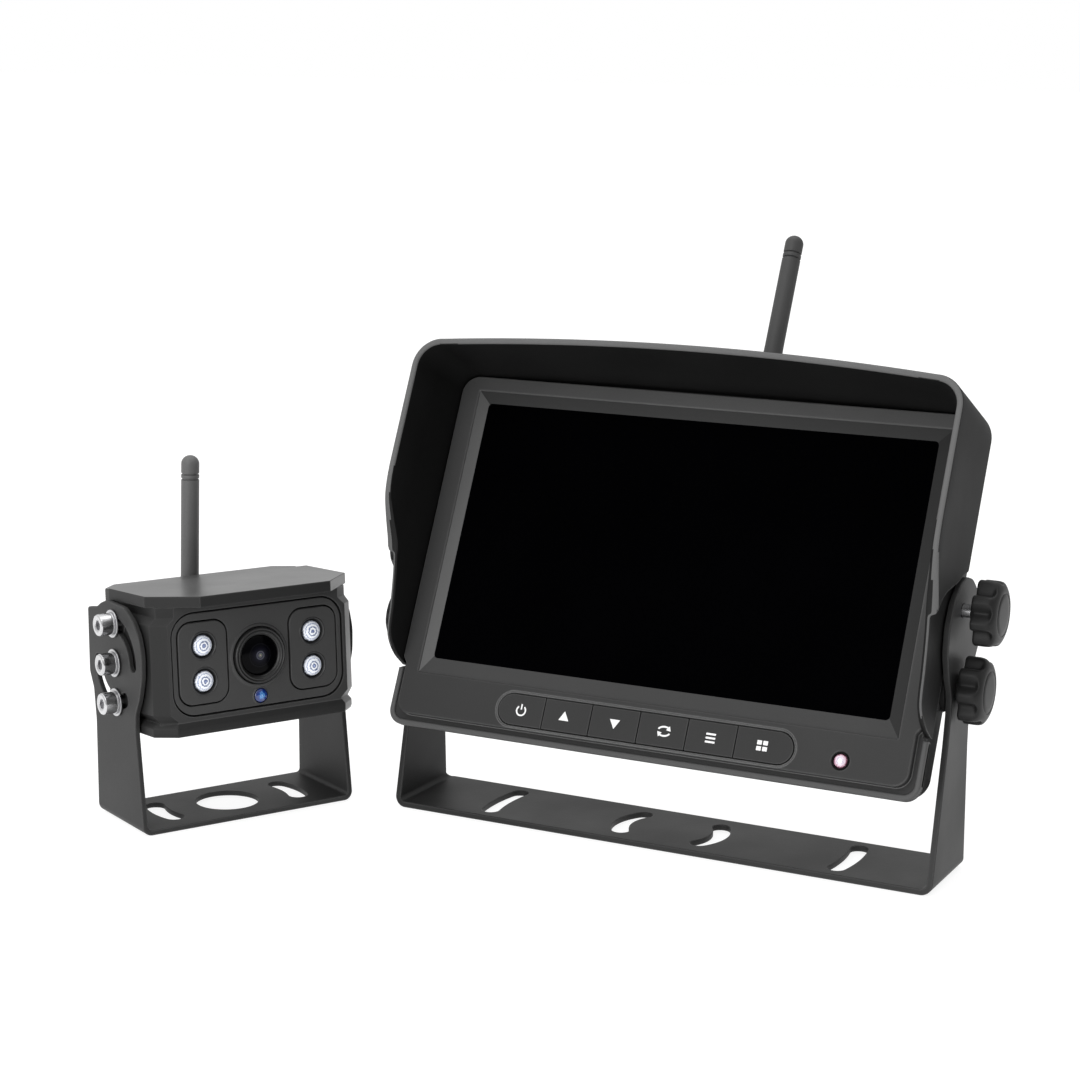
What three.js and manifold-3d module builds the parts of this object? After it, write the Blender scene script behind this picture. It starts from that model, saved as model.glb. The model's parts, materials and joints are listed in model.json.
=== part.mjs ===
// Rear-view camera kit: a tilting display on a U bracket with a sunshade, and a small camera on
// its own U bracket. Millimetres, +Z up. The display bracket base is centred on the origin with
// its underside at z = 0 and the screen faces -Y. The camera stands beside it on the same floor.
// Both heads are modelled in their own frames: x right, y back, z up along the face.
import * as THREE from 'three';
import { mergeVertices } from 'three/addons/utils/BufferGeometryUtils.js';
import Module from 'manifold-3d';

const wasm = await Module();
wasm.setup();

const DEG = Math.PI / 180;
const BEYOND = 100; // how far a cutter runs when it only has to clear the part
const SIDES = [['right', 1], ['left', -1]];

// ---- display dimensions -----------------------------------------------------------------------
const DISPLAY = { y: -0.324, z: 92.315, tilt: 24.785 * DEG }; // screen centre; leans back
// half: half the outside width; inset: width at each end of the section kept for the leg
const DISPLAY_BRACKET = { half: 92.6, thickness: 2.0, depth: 34.8, bend: 3.6, inset: 4.2 };
const WINDOW = { width: 155.0, height: 87.15 }; // visible screen
const SHELL = { x: 88.0, bottom: -66.4, top: 52.4, front: -1.07, back: 4.0 };
const CHIN_X = 90.0;
const REAR = { x: 86.0, bottom: -63.0, top: 50.0, back: 26.0 };
const JOINT_GAP = 0.02; // between parts that meet face to face
const PIVOT = { y: 13.86, z: -28.76 }; // tilt pivot
const LOCK = { radius: 23.98, angle: 23.5 }; // stud about the pivot, degrees from +z toward -y
// ends of the lock studs and of their knob hubs, as distances from the middle of the display
const LOCK_FIT = { right: { studTip: 101.9, hub: 95.9 }, left: { studTip: 97.8, hub: 92.8 } };
const HOOD = { front: -30.3, back: 4.2, inner: 88.3, outer: 92.2, wing: 90.0, top: 55.4 };
const AERIAL = { x: 12.8, y: 14.0, z: 58.0, tip: 112.9 }; // hinge centre and top of the whip
const KEY_ROW = { z: -56.6, endX: 45, radius: 5.1 }; // pill-shaped opening
const IR_AT = [65.1, 0, -57.7];
const INLET_AT = [-40, 0, -50];
const REAR_SCREWS = [[-74, -53], [74, -53], [-74, 40], [74, 40]]; // [x, z]

// ---- camera dimensions ------------------------------------------------------------------------
const CAMERA_UNIT = { x: -141.133, y: -43.942, yaw: 62.125 * DEG };
const CAMERA_BRACKET = { half: 38.5, thickness: 1.7, depth: 33.2, bend: 3.0, inset: 3.4 };
const CAMERA = { y: 2.4, z: 52.9, tilt: 4.41 }; // head pivot; leans back, degrees
const BOLT_PITCH = 12.7;
const BOLTS = [['upper', BOLT_PITCH], ['middle', 0], ['lower', -BOLT_PITCH]]; // [name, z]
const SEAM_Y = 8.05; // front of the rear housing
const LENS_AT = [0, 0, 0.9];
const SENSOR_AT = [0.2, 0, -12.3];
const LAMPS = [[-19.7, 6.3], [-19.7, -5.1], [19.7, 6.3], [19.7, -5.1]]; // [x, z]
const GLAND_AT = [-18, 0, -11];
const CAMERA_AERIAL_AT = [0, 0, 6];

// ---- finishes: [colour, roughness, metalness] -------------------------------------------------
const FINISH = {
  bracket: [0x3c3c3d, 0.6, 0.35],
  lockStud: [0xc4c4c6, 0.28, 1.0],
  tiltStud: [0xb9b9bb, 0.3, 1.0],
  rubber: [0x1a1a1a, 0.85, 0.0],
  knob: [0x262627, 0.42, 0.0],
  bezel: [0x3a3a3a, 0.62, 0.0],
  rearCover: [0x343434, 0.66, 0.0],
  hood: [0x323232, 0.6, 0.0],
  screen: [0x030304, 0.08, 0.0],
  lcd: [0x9a9da0, 0.4, 0.8],
  board: [0x16452c, 0.5, 0.1],
  button: [0x2b2b2b, 0.55, 0.0],
  irWindow: [0xc9a7ad, 0.15, 0.0],
  aerialBase: [0x2e2e2e, 0.6, 0.0],
  whip: [0x3b3b3c, 0.62, 0.0],
  rearScrew: [0x8b8d90, 0.35, 0.9],
  inlet: [0x1d1d1e, 0.5, 0.1],
  cameraFront: [0x3a3a3b, 0.5, 0.3],
  cameraRear: [0x383839, 0.55, 0.3],
  cameraPanel: [0x2f2f30, 0.5, 0.0],
  lensBarrel: [0x1c1c1d, 0.4, 0.2],
  lensGlass: [0x050507, 0.06, 0.0],
  lamp: [0xe7ecff, 0.12, 0.0],
  lightSensor: [0x0a2d86, 0.15, 0.0],
  gland: [0x232324, 0.6, 0.0],
  cameraAerialBase: [0x9a9b9d, 0.35, 0.9],
  bolt: [0xc8c8ca, 0.25, 1.0],
  washer: [0xb4b4b6, 0.3, 1.0],
};

// ---- scene helpers ----------------------------------------------------------------------------
function addPiece(parent, name, solid, [color, roughness, metalness]) {
  const { vertProperties, triVerts } = solid.getMesh();
  const geometry = new THREE.BufferGeometry();
  geometry.setAttribute('position', new THREE.Float32BufferAttribute(vertProperties, 3));
  geometry.setIndex(new THREE.Uint32BufferAttribute(triVerts, 1));
  geometry.computeVertexNormals();
  const material = new THREE.MeshStandardMaterial({ color, roughness, metalness });
  const piece = new THREE.Mesh(geometry, material);
  piece.name = name;
  parent.add(piece);
}

function makeGroup(name, parent) {
  const group = new THREE.Group();
  group.name = name;
  parent?.add(group);
  return group;
}

// ---- outlines ---------------------------------------------------------------------------------
// points along an arc; angles in degrees from the first axis
const arc = (cx, cy, radius, from, to, steps) => Array.from({ length: steps + 1 }, (_, i) => {
  const angle = (from + (to - from) * i / steps) * DEG;
  return [cx + radius * Math.cos(angle), cy + radius * Math.sin(angle)];
});

const circle = (cx, cy, radius, sides = 12) => arc(cx, cy, radius, 0, 360, sides).slice(0, -1);

// curved slot with round ends, about (cx, cy)
function arcSlot(cx, cy, radius, width, from, to, steps = 6) {
  const half = width / 2;
  const roundEnd = (at, start) => {
    const [[x, y]] = arc(cx, cy, radius, at, at, 1);
    return arc(x, y, half, start, start + 180, 4).slice(1, -1);
  };
  return [
    ...arc(cx, cy, radius + half, from, to, steps),
    ...roundEnd(to, to),
    ...arc(cx, cy, radius - half, to, from, steps),
    ...roundEnd(from, from + 180),
  ];
}

// closed outline with rounded corners; each corner is [x, y, radius], the radius optional
function rounded(corners, defaultRadius = 0, steps = 2) {
  return corners.flatMap(([x, y, radius = defaultRadius], i) => {
    const neighbours = [corners.at(i - 1), corners[(i + 1) % corners.length]];
    const [before, after] = neighbours.map(p => new THREE.Vector2(p[0] - x, p[1] - y));
    const room = 0.49 * Math.min(before.length(), after.length());
    before.normalize();
    after.normalize();
    const halfAngle = Math.acos(THREE.MathUtils.clamp(before.dot(after), -1, 1)) / 2;
    const nearlyStraight = halfAngle > 1.55;
    if (!radius || nearlyStraight) return [[x, y]];
    const reach = Math.min(radius / Math.tan(halfAngle), room);
    const fitted = reach * Math.tan(halfAngle);
    const centre = before.clone().add(after).setLength(fitted / Math.sin(halfAngle));
    const start = before.multiplyScalar(reach).sub(centre).angle();
    let sweep = after.multiplyScalar(reach).sub(centre).angle() - start;
    sweep -= 2 * Math.PI * Math.round(sweep / (2 * Math.PI)); // the short way round
    const end = start + sweep;
    return arc(x + centre.x, y + centre.y, fitted, start / DEG, end / DEG, steps);
  });
}

// rectangle with one radius for the two low corners and one for the two high corners
const roundedRect = (x0, x1, z0, z1, low, high = low, steps = 2) =>
  rounded([[x0, z0, low], [x1, z0, low], [x1, z1, high], [x0, z1, high]], 0, steps);

// half outline followed by its mirror image across the second axis
const symmetric = half => [...half, ...half.map(([x, y]) => [-x, y]).reverse()];

// ---- solids -----------------------------------------------------------------------------------
const join = (...solids) => solids.reduce((sum, solid) => sum.add(solid));
const cut = (solid, ...cutters) => cutters.reduce((rest, cutter) => rest.subtract(cutter), solid);

// welds a closed geometry, drops collapsed triangles and turns the faces outward
function toSolid(raw) {
  raw.deleteAttribute('normal');
  raw.deleteAttribute('uv');
  const geometry = mergeVertices(raw, 1e-4);
  const index = geometry.index.array;
  const vertProperties = geometry.attributes.position.array;
  const point = i => new THREE.Vector3().fromArray(vertProperties, 3 * i);
  let triangles = [];
  let volume = 0;
  for (let i = 0; i < index.length; i += 3) {
    const [a, b, c] = index.slice(i, i + 3);
    if (a === b || b === c || a === c) continue;
    triangles.push([a, b, c]);
    volume += point(a).dot(point(b).cross(point(c)));
  }
  if (volume < 0) triangles = triangles.map(([a, b, c]) => [a, c, b]);
  const triVerts = Uint32Array.from(triangles.flat());
  return new wasm.Manifold(new wasm.Mesh({ numProp: 3, vertProperties, triVerts }));
}

const [X, Y, Z] = [[1, 0, 0], [0, 1, 0], [0, 0, 1]].map(v => new THREE.Vector3(...v));
const PRISM_FRAME = {
  X: new THREE.Matrix4().makeBasis(Y, Z, X),
  Y: new THREE.Matrix4().makeBasis(X, Z, Y.clone().negate()),
  Z: new THREE.Matrix4(),
};

function toPath(points) {
  const shape = new THREE.Shape(points.map(([x, y]) => new THREE.Vector2(x, y)));
  shape.closePath();
  return shape;
}

// prism of an outline along one axis: X takes (y, z) points, Y takes (x, z), Z takes (x, y)
function prism(axis, outline, low, high, bevel = 0, holes = []) {
  const shape = toPath(outline);
  shape.holes = holes.map(toPath);
  const geometry = new THREE.ExtrudeGeometry(shape, {
    depth: high - low - 2 * bevel,
    bevelEnabled: bevel > 0,
    bevelThickness: bevel,
    bevelSize: bevel,
    bevelOffset: -bevel,
    bevelSegments: 1,
    curveSegments: 1,
  });
  geometry.translate(0, 0, bevel);
  geometry.applyMatrix4(PRISM_FRAME[axis]);
  geometry.translate(...{ X: [low, 0, 0], Y: [0, high, 0], Z: [0, 0, low] }[axis]);
  return toSolid(geometry);
}

// prism along x between two distances from the middle, on the side given by 1 or -1
function sidePrism(side, outline, inner, outer, holes = []) {
  const [low, high] = side > 0 ? [inner, outer] : [-outer, -inner];
  return prism('X', outline, low, high, 0, holes);
}
const prismPair = (...shape) => [sidePrism(1, ...shape), sidePrism(-1, ...shape)];

// body of revolution about an axis, then moved; profile is [radius, distance along the axis]
function turn(axis, profile, at = [0, 0, 0], segments = 12) {
  const points = profile.map(([radius, distance]) => new THREE.Vector2(radius, distance));
  const geometry = new THREE.LatheGeometry(points, segments);
  if (axis === 'X') geometry.rotateZ(-Math.PI / 2);
  if (axis === 'Z') geometry.rotateX(Math.PI / 2);
  geometry.translate(...at);
  return toSolid(geometry);
}
const sideTurn = (side, profile, at, segments) =>
  turn('X', profile.map(([radius, distance]) => [radius, side * distance]), at, segments);

// profile of a plain cylinder
const rod = (radius, low, high) => [[0, low], [radius, low], [radius, high], [0, high]];

function box(x0, x1, y0, y1, z0, z1) {
  const geometry = new THREE.BoxGeometry(x1 - x0, y1 - y0, z1 - z0);
  geometry.translate((x0 + x1) / 2, (y0 + y1) / 2, (z0 + z1) / 2);
  return toSolid(geometry);
}
// union of boxes; rows are [x0, x1, y0, y1, z0, z1]
const boxes = rows => join(...rows.map(row => box(...row)));

// closed skin through rings of equally many [x, y, z] points, capped with fans
function loft(rings) {
  const count = rings[0].length;
  const index = [];
  for (let ring = 0; ring + 1 < rings.length; ring++) {
    for (let i = 0; i < count; i++) {
      const a = ring * count + i;
      const b = ring * count + (i + 1) % count;
      index.push(a, b, b + count, a, b + count, a + count);
    }
  }
  const last = (rings.length - 1) * count;
  for (let i = 1; i + 1 < count; i++) {
    index.push(0, i + 1, i);
    index.push(last, last + i, last + i + 1);
  }
  const geometry = new THREE.BufferGeometry();
  geometry.setAttribute('position', new THREE.Float32BufferAttribute(rings.flat(2), 3));
  geometry.setIndex(index);
  return toSolid(geometry);
}

// ---- brackets ---------------------------------------------------------------------------------
// bent U strip with legs trimmed to an outline; holes are cut down through the floor and
// sideways through both ears
function bracket(size, legOutline, floorHoles, earHoles) {
  const { half, thickness, depth, bend, inset } = size;
  const innerX = half - thickness;
  const strip = prism('Y', rounded([
    [-half, BEYOND], [-half, 0, bend], [half, 0, bend], [half, BEYOND],
    [innerX, BEYOND], [innerX, thickness, bend - thickness],
    [-innerX, thickness, bend - thickness], [-innerX, BEYOND],
  ]), -30, 30);
  const floorX = half - inset;
  const legs = strip.intersect(prism('X', legOutline, -BEYOND, BEYOND))
    .subtract(box(-floorX, floorX, -40, 40, -1, BEYOND + 1));
  const floor = strip.intersect(box(-floorX, floorX, -depth / 2, depth / 2, -1, 30));
  return cut(
    join(legs, floor),
    ...floorHoles.map(hole => prism('Z', hole, -1, thickness + 1)),
    ...earHoles.map(hole => prism('X', hole, -BEYOND, BEYOND)),
  );
}

// two slots facing each other across the middle of a bracket floor
const slotPair = (radius, width, halfAngle, steps) => [0, 180].map(middle =>
  arcSlot(0, 0, radius, width, middle - halfAngle, middle + halfAngle, steps));

// display bracket leg with its rounded ear: [y, z, corner radius], radius 6 unless given
const DISPLAY_LEG = [
  [-17.4, 0, 0], [-7.8, 44, 8], [-6.3, 53.6, 8], [-6.8, 60, 8], [-10.0, 65.6],
  [-12.5, 73.4], [-11.5, 81.8], [-7.8, 88.4], [-1.6, 92.9], [4.2, 94.0],
  [10.2, 92.2], [15.8, 87.6], [20.0, 81.6], [21.0, 75.6], [19.2, 70.6],
  [14.8, 64.8, 8], [12.6, 54, 10], [12.6, 40, 10], [15.0, 0, 0],
];
// camera bracket leg with its ear: [y, z, corner radius]
const CAMERA_LEG = [
  [-16.6, 0, 0], [-11.4, 33, 10], [-11.6, 39, 4], [-14.4, 44.4, 4], [-16.4, 51.5, 10],
  [-16.4, 59.0, 10], [-14.4, 64.6, 5], [-10.4, 69.0, 5], [-4.2, 72.2, 4], [8.6, 72.2, 4],
  [12.6, 70.6, 4], [15.6, 68.8, 3], [22.2, 67.6, 1.2], [21.6, 46.4, 4], [18.8, 41.4, 4],
  [17.2, 31, 10], [16.6, 0, 0],
];

// (y, z) of a display head point in the frame of the kit
function headToKit(y, z) {
  const cos = Math.cos(DISPLAY.tilt);
  const sin = Math.sin(DISPLAY.tilt);
  return [DISPLAY.y + y * cos + z * sin, DISPLAY.z - y * sin + z * cos];
}
const PIVOT_IN_KIT = headToKit(PIVOT.y, PIVOT.z);
const LOCK_IN_KIT = headToKit(
  PIVOT.y - LOCK.radius * Math.sin(LOCK.angle * DEG),
  PIVOT.z + LOCK.radius * Math.cos(LOCK.angle * DEG),
);

const displayBracket = () => bracket(
  DISPLAY_BRACKET,
  rounded(DISPLAY_LEG, 6),
  [...slotPair(61, 5.6, 10.1, 4), ...slotPair(16.4, 5.6, 34, 5)],
  [circle(...PIVOT_IN_KIT, 3.3), circle(...LOCK_IN_KIT, 2.18)],
);

const cameraBracket = () => bracket(
  CAMERA_BRACKET,
  rounded(CAMERA_LEG),
  [circle(0, 0, 10.3, 22), ...slotPair(23.9, 6.2, 17, 4)],
  [
    circle(CAMERA.y, CAMERA.z, 2.35),
    arcSlot(CAMERA.y, CAMERA.z, BOLT_PITCH, 4.7, 59.5, 172, 8),
    arcSlot(CAMERA.y, CAMERA.z, BOLT_PITCH, 4.7, -121, -8, 8),
  ],
);

// ---- studs and knobs --------------------------------------------------------------------------
// held in the round hole of an ear, head inside the curved track of the display
const lockStud = (side, tip) => sideTurn(side, [
  [0, 84.0], [3.0, 84.0], [3.0, 86.4], [2.1, 86.4], [2.1, tip - 0.4], [1.8, tip], [0, tip],
], [0, ...LOCK_IN_KIT]);

const tiltStud = side => sideTurn(side, [
  [0, 76.5], [2.9, 76.5], [2.9, 94.8], [2.4, 95.2], [2.4, 99.8], [0, 99.8],
], [0, PIVOT.y, PIVOT.z]);

const frictionWasher = side => sidePrism(side, circle(PIVOT.y, PIVOT.z, 7.4, 17), 88.62, 90.3,
  [circle(PIVOT.y, PIVOT.z, 3.1)]);

// lobed knob with a rounded cap; face, hub and boreEnd are distances from the middle of the
// display, and lobeAngle is where one lobe points
function knob(side, [y, z], { face, hub, bore, boreEnd, lobeAngle }) {
  const radius = 10.4;
  const lobes = 8;
  const valleyDepth = 2.2;
  const ringSteps = 48;
  const back = face - 7.6;
  const ring = Array.from({ length: ringSteps }, (_, i) => {
    const angle = 2 * Math.PI * i / ringSteps;
    const turns = (angle - lobeAngle) * lobes / (2 * Math.PI);
    const fromLobe = Math.abs((turns % 1 + 1.5) % 1 - 0.5) * 2; // 0 on a lobe, 1 in a valley
    const r = radius - valleyDepth * THREE.MathUtils.smoothstep(fromLobe, 0.36, 1);
    return [y + r * Math.cos(angle), z + r * Math.sin(angle)];
  });
  const cap = [
    [0, back + 4.5], [radius, back + 4.5], [10.1, face - 1.9], [9.3, face - 0.9],
    [8.2, face - 0.25], [7.0, face], [0, face],
  ];
  const hubProfile = [
    [0, hub], [4.3, hub], [4.6, hub + 0.3], [4.6, back + 1.5], [0, back + 1.5],
  ];
  const body = join(
    sidePrism(side, ring, back, back + 4.6),
    sideTurn(side, cap, [0, y, z], 26),
    sideTurn(side, hubProfile, [0, y, z], 16),
  );
  return cut(body, sideTurn(side, rod(bore, hub - 3, boreEnd), [0, y, z]));
}

// ---- display shells ---------------------------------------------------------------------------
// curved track about the pivot; the end angles are relative to the lock stud
const lockTrack = (width, from, to) => arcSlot(PIVOT.y, PIVOT.z, LOCK.radius, width,
  90 + (LOCK.angle + from), 90 + (LOCK.angle + to));
// path of each lock stud's shank, and the wider path of its head
const LOCK_PATHS = [
  ...prismPair(lockTrack(5.0, -32.5, 3.9), 83.2, 95),
  ...prismPair(lockTrack(6.6, -32.5, 3.9), 83.7, 86.8),
];

// frame with a bevelled window, and a chin with the key opening
function frontBezel() {
  const { x, bottom, top, front, back } = SHELL;
  const frame = roundedRect(-x, x, bottom, top, 5, 6);
  const chin = roundedRect(-CHIN_X, CHIN_X, bottom, -47.4, 5, 1.8);
  const windowRing = (y, margin, marginBelow) => {
    const halfWidth = WINDOW.width / 2 + margin;
    const high = WINDOW.height / 2 + margin;
    const low = -WINDOW.height / 2 - marginBelow;
    return [[-halfWidth, y, low], [halfWidth, y, low], [halfWidth, y, high], [-halfWidth, y, high]];
  };
  const keyOpening = [
    ...arc(KEY_ROW.endX, KEY_ROW.z, KEY_ROW.radius, -90, 90, 12),
    ...arc(-KEY_ROW.endX, KEY_ROW.z, KEY_ROW.radius, 90, 270, 12),
  ];
  return cut(
    join(prism('Y', frame, front, back, 0.5), prism('Y', chin, front, back, 1.2)),
    loft([windowRing(front - 0.05, 3.9, 5.2), windowRing(-0.2, 0, 0), windowRing(1, 0, 0)]),
    box(-80.2, 80.2, 0, 10, -46.4, 46.4), // seat of the glass
    box(-79.2, 79.2, 1.2, 10, -49.6, 48.4), // room for the LCD module
    prism('Y', keyOpening, -5, 10),
    prism('Y', circle(IR_AT[0], IR_AT[2], 2.5), -5, 10),
    ...LOCK_PATHS,
  );
}

// open box with side bosses, lock tracks, board posts and screw wells
function rearCover() {
  const seam = SHELL.back + JOINT_GAP;
  const flange = roundedRect(-SHELL.x, SHELL.x, SHELL.bottom + 1.2, SHELL.top - 0.2, 5, 6);
  const tub = roundedRect(-REAR.x, REAR.x, REAR.bottom, REAR.top, 7);
  const shell = cut(
    join(
      prism('Y', flange, seam, 7),
      prism('Y', tub, 6, REAR.back, 3.0),
      ...prismPair(circle(PIVOT.y, PIVOT.z, 7.8, 17), 80, 88.6),
      ...prismPair(lockTrack(12.0, -36, 3), 84, 88),
    ),
    box(-BEYOND, BEYOND, -50, seam, -BEYOND, BEYOND),
    prism('Y', roundedRect(-83, 83, -60, 47, 3), 2, 23.5),
  );
  const boardPosts = [[-54, -34], [54, -34], [-54, 34], [54, 34]]; // [x, z]
  const vents = { first: -42, pitch: 10.5, count: 9, halfWidth: 1.5 };
  const ventCuts = Array.from({ length: vents.count }, (_, i) => {
    const x = vents.first + i * vents.pitch;
    return box(x - vents.halfWidth, x + vents.halfWidth, 20, 30, 28, 44);
  });
  return cut(
    join(
      shell,
      ...prismPair(circle(PIVOT.y, PIVOT.z, 5.5), 74, 86),
      ...boardPosts.map(([x, z]) => turn('Y', rod(3, 13.6, 24), [x, 0, z])),
      ...REAR_SCREWS.map(([x, z]) => turn('Y', rod(4.6, 8, 24), [x, 0, z])),
    ),
    ...REAR_SCREWS.flatMap(([x, z]) => [
      turn('Y', rod(1.65, 5, 30), [x, 0, z]),
      turn('Y', rod(3.3, 23.9, 30), [x, 0, z]),
    ]),
    ...prismPair(circle(PIVOT.y, PIVOT.z, 3.0), 76, BEYOND),
    ...LOCK_PATHS,
    turn('Y', rod(4.3, 20, 30), INLET_AT, 14),
    ...ventCuts,
  );
}

// space below and behind the lower front edge of the sunshade: [y, z]
const HOOD_EDGE = [
  [-60, 12], [-29.9, 12], [-29.8, 6.5], [-28.5, 1.5], [-25, -4.5], [-21, -10.4],
  [-19, -14.4], [-18.4, -15.4], [-16.5, -20.9], [-13.9, -30.4], [-12, -38.8],
  [-9.1, -42.1], [-3.7, -45.0], [3.3, -46.6], [3.3, -80], [-60, -80],
];
// region where the side walls thin down to wings: [y, z]
const HOOD_WING = [
  [-60, -14.4], [-19.2, -14.4], [-17.7, -10.7], [-14.6, -6.9], [-10.6, -4.1], [-6.5, -1.9],
  [-3.0, 0.2], [0.2, 2.9], [5.5, 5.6], [10, 5.6], [10, -80], [-60, -80],
];

// arch of the sunshade at one y; its top bows up more toward the front.
// The insets shrink the outer half width, the height and the corner radius.
function hoodRing(y, [sideInset, topInset, cornerInset]) {
  const towardFront = (HOOD.back - y) / (HOOD.back - HOOD.front);
  const bow = 0.6 + 3.0 * towardFront;
  const side = HOOD.outer - sideInset;
  const top = HOOD.top - topInset;
  const corner = 9.5 - cornerInset;
  const flat = side - corner;
  const topSteps = 14;
  const points = [[-side, -60], ...arc(-flat, top - corner, corner, 180, 90, 6)];
  for (let i = 1; i < topSteps; i++) {
    const x = -flat + 2 * flat * i / topSteps;
    points.push([x, top + bow * (1 - (x / flat) ** 2)]);
  }
  points.push(...arc(flat, top - corner, corner, 90, 0, 6), [side, -60]);
  return points.map(([x, z]) => [x, y, z]);
}

function sunshadeHood() {
  const outside = [0, 0, 0];
  const lip = [2.0, 2.0, 2.0];
  const behindLip = [3.7, 2.2, 2.8];
  const rear = [HOOD.outer - HOOD.inner, 2.6, 3.9];
  return cut(
    loft([hoodRing(HOOD.front, outside), hoodRing(HOOD.back, outside)]),
    loft([
      hoodRing(HOOD.front - 1, lip),
      hoodRing(HOOD.front, lip),
      hoodRing(-20.0, behindLip),
      hoodRing(HOOD.back, rear),
      hoodRing(HOOD.back + 1, rear),
    ]),
    box(-BEYOND, BEYOND, -50, 20, -80, -46.6),
    prism('X', HOOD_EDGE, -BEYOND, BEYOND),
    ...prismPair(HOOD_WING, HOOD.wing, BEYOND),
    ...LOCK_PATHS,
  );
}

// ---- display fittings -------------------------------------------------------------------------
const screenGlass = () => prism('Y', roundedRect(-79.9, 79.9, -46.1, 46.1, 1.2), 0.02, 1.15);

const lcdModule = () => boxes([[-78.6, 78.6, 1.3, 5.4, -49.2, 46.6], [-60, 60, 5.3, 6.4, -38, 38]]);

// board with three blocks on its front
const mainBoard = () => boxes([
  [-60, 60, 12.0, 13.5, -40, 40],
  [-12, 12, 10.2, 12.1, -10, 12],
  [28, 46, 9.4, 12.1, -30, -22],
  [-46, -34, 10.8, 12.1, 8, 22],
]);

// board with a small block behind each key
const keypadBoard = () => boxes([
  [-52, 52, 4.5, 5.7, -60.0, -51.6],
  ...[-42, -25.8, -9.45, 6.95, 23.2, 40.6].map(x => [x - 2.4, x + 2.4, 4.12, 4.6, -58.4, -54.0]),
]);

const KEYS = ['power', 'up', 'down', 'source', 'menu', 'view'];
const KEY_EDGES = [-50.1, -34.0, -17.7, -1.2, 15.05, 31.3, 50.1]; // x of the lines between keys
const KEY_GAP = { rim: 0.3, between: 0.2 };

// the first and last keys have a round outer end
function button(i) {
  const isFirst = i === 0;
  const isLast = i === KEYS.length - 1;
  const left = KEY_EDGES[i] + (isFirst ? KEY_GAP.rim : KEY_GAP.between);
  const right = KEY_EDGES[i + 1] - (isLast ? KEY_GAP.rim : KEY_GAP.between);
  const radius = KEY_ROW.radius - KEY_GAP.rim;
  const [low, high] = [KEY_ROW.z - radius, KEY_ROW.z + radius];
  const leftEnd = isFirst
    ? arc(left + radius, KEY_ROW.z, radius, 90, 270, 12)
    : [[left, high], [left, low]];
  const rightEnd = isLast
    ? arc(right - radius, KEY_ROW.z, radius, -90, 90, 12)
    : [[right, low], [right, high]];
  return prism('Y', [...leftEnd, ...rightEnd], -1.35, 3.3, 0.25);
}

const irWindow = () => turn('Y', [
  [0, -1.5], [1.4, -1.35], [2.2, -0.95], [2.35, -0.6], [2.35, 3.4], [0, 3.4],
], IR_AT, 14);

function rearScrew(x, z) {
  const profile = [
    [0, 9], [1.5, 9], [1.5, 24.0], [2.9, 24.0], [2.9, 25.2], [2.3, 25.8], [0, 25.8],
  ];
  return cut(
    turn('Y', profile, [x, 0, z]),
    box(x - 1.6, x + 1.6, 24.7, 27, z - 0.35, z + 0.35),
    box(x - 0.35, x + 0.35, 24.7, 27, z - 1.6, z + 1.6),
  );
}

const powerInlet = () => turn('Y', [
  [0, 18], [4.1, 18], [4.1, 26.0], [5.2, 26.05], [5.2, 27.2], [4.6, 27.6], [2.9, 27.6],
  [2.9, 20.5], [1.0, 20.5], [1.0, 26.0], [0.6, 26.5], [0, 26.5],
], INLET_AT, 14);

// ---- aerials ----------------------------------------------------------------------------------
// upper end of a whip with two grooves: [radius, distance below the tip]
const WHIP_TIP = [
  [3.0, 8.2], [2.7, 7.9], [2.7, 7.5], [3.0, 7.2], [3.0, 6.6], [2.7, 6.3],
  [2.7, 5.9], [3.0, 5.6], [3.0, 3.0], [2.6, 1.5], [1.6, 0.4], [0, 0],
];
const whipTip = tip => WHIP_TIP.map(([radius, below]) => [radius, tip - below]);

// round foot with an upright tongue for the hinge pin
function displayAerialBase() {
  const { x, y, z } = AERIAL;
  const foot = REAR.top + JOINT_GAP;
  const profile = [
    [0, foot], [5.2, foot], [5.2, 51.6], [4.0, 52.4], [4.0, 54.1], [0, 54.1],
  ];
  const tongue = [...arc(y, z, 3.3, 0, 180, 12), [y - 3.3, 53.9], [y + 3.3, 53.9]];
  return cut(
    join(turn('Z', profile, [x, y, 0], 14), prism('X', tongue, x - 1.5, x + 1.5)),
    prism('X', circle(y, z, 1.25), x - 5, x + 5),
  );
}

// whip whose lower end is a fork over the tongue, with the hinge pin across it
function displayAerialWhip() {
  const { x, y, z, tip } = AERIAL;
  const profile = [
    [0, 54.0], [3.6, 54.0], [3.6, 66], [3.35, 67.5], [3.2, 69], [3.05, 74], ...whipTip(tip),
  ];
  const roundedEnd = [...arc(y, z, 3.55, 0, -180, 12), [y - 3.6, 130], [y + 3.6, 130]];
  return turn('Z', profile, [x, y, 0], 16)
    .subtract(box(x - 1.8, x + 1.8, y - 8, y + 8, 50, 62.2))
    .intersect(prism('X', roundedEnd, x - 5, x + 5))
    .add(prism('X', circle(y, z, 1.0), x - 2.6, x + 2.6));
}

const cameraAerialBase = () => turn('Y', [
  [0, 14.2], [3.0, 14.2], [3.0, 18.04], [4.6, 18.1], [4.6, 19.6], [0, 19.6],
], CAMERA_AERIAL_AT, 14);

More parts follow.
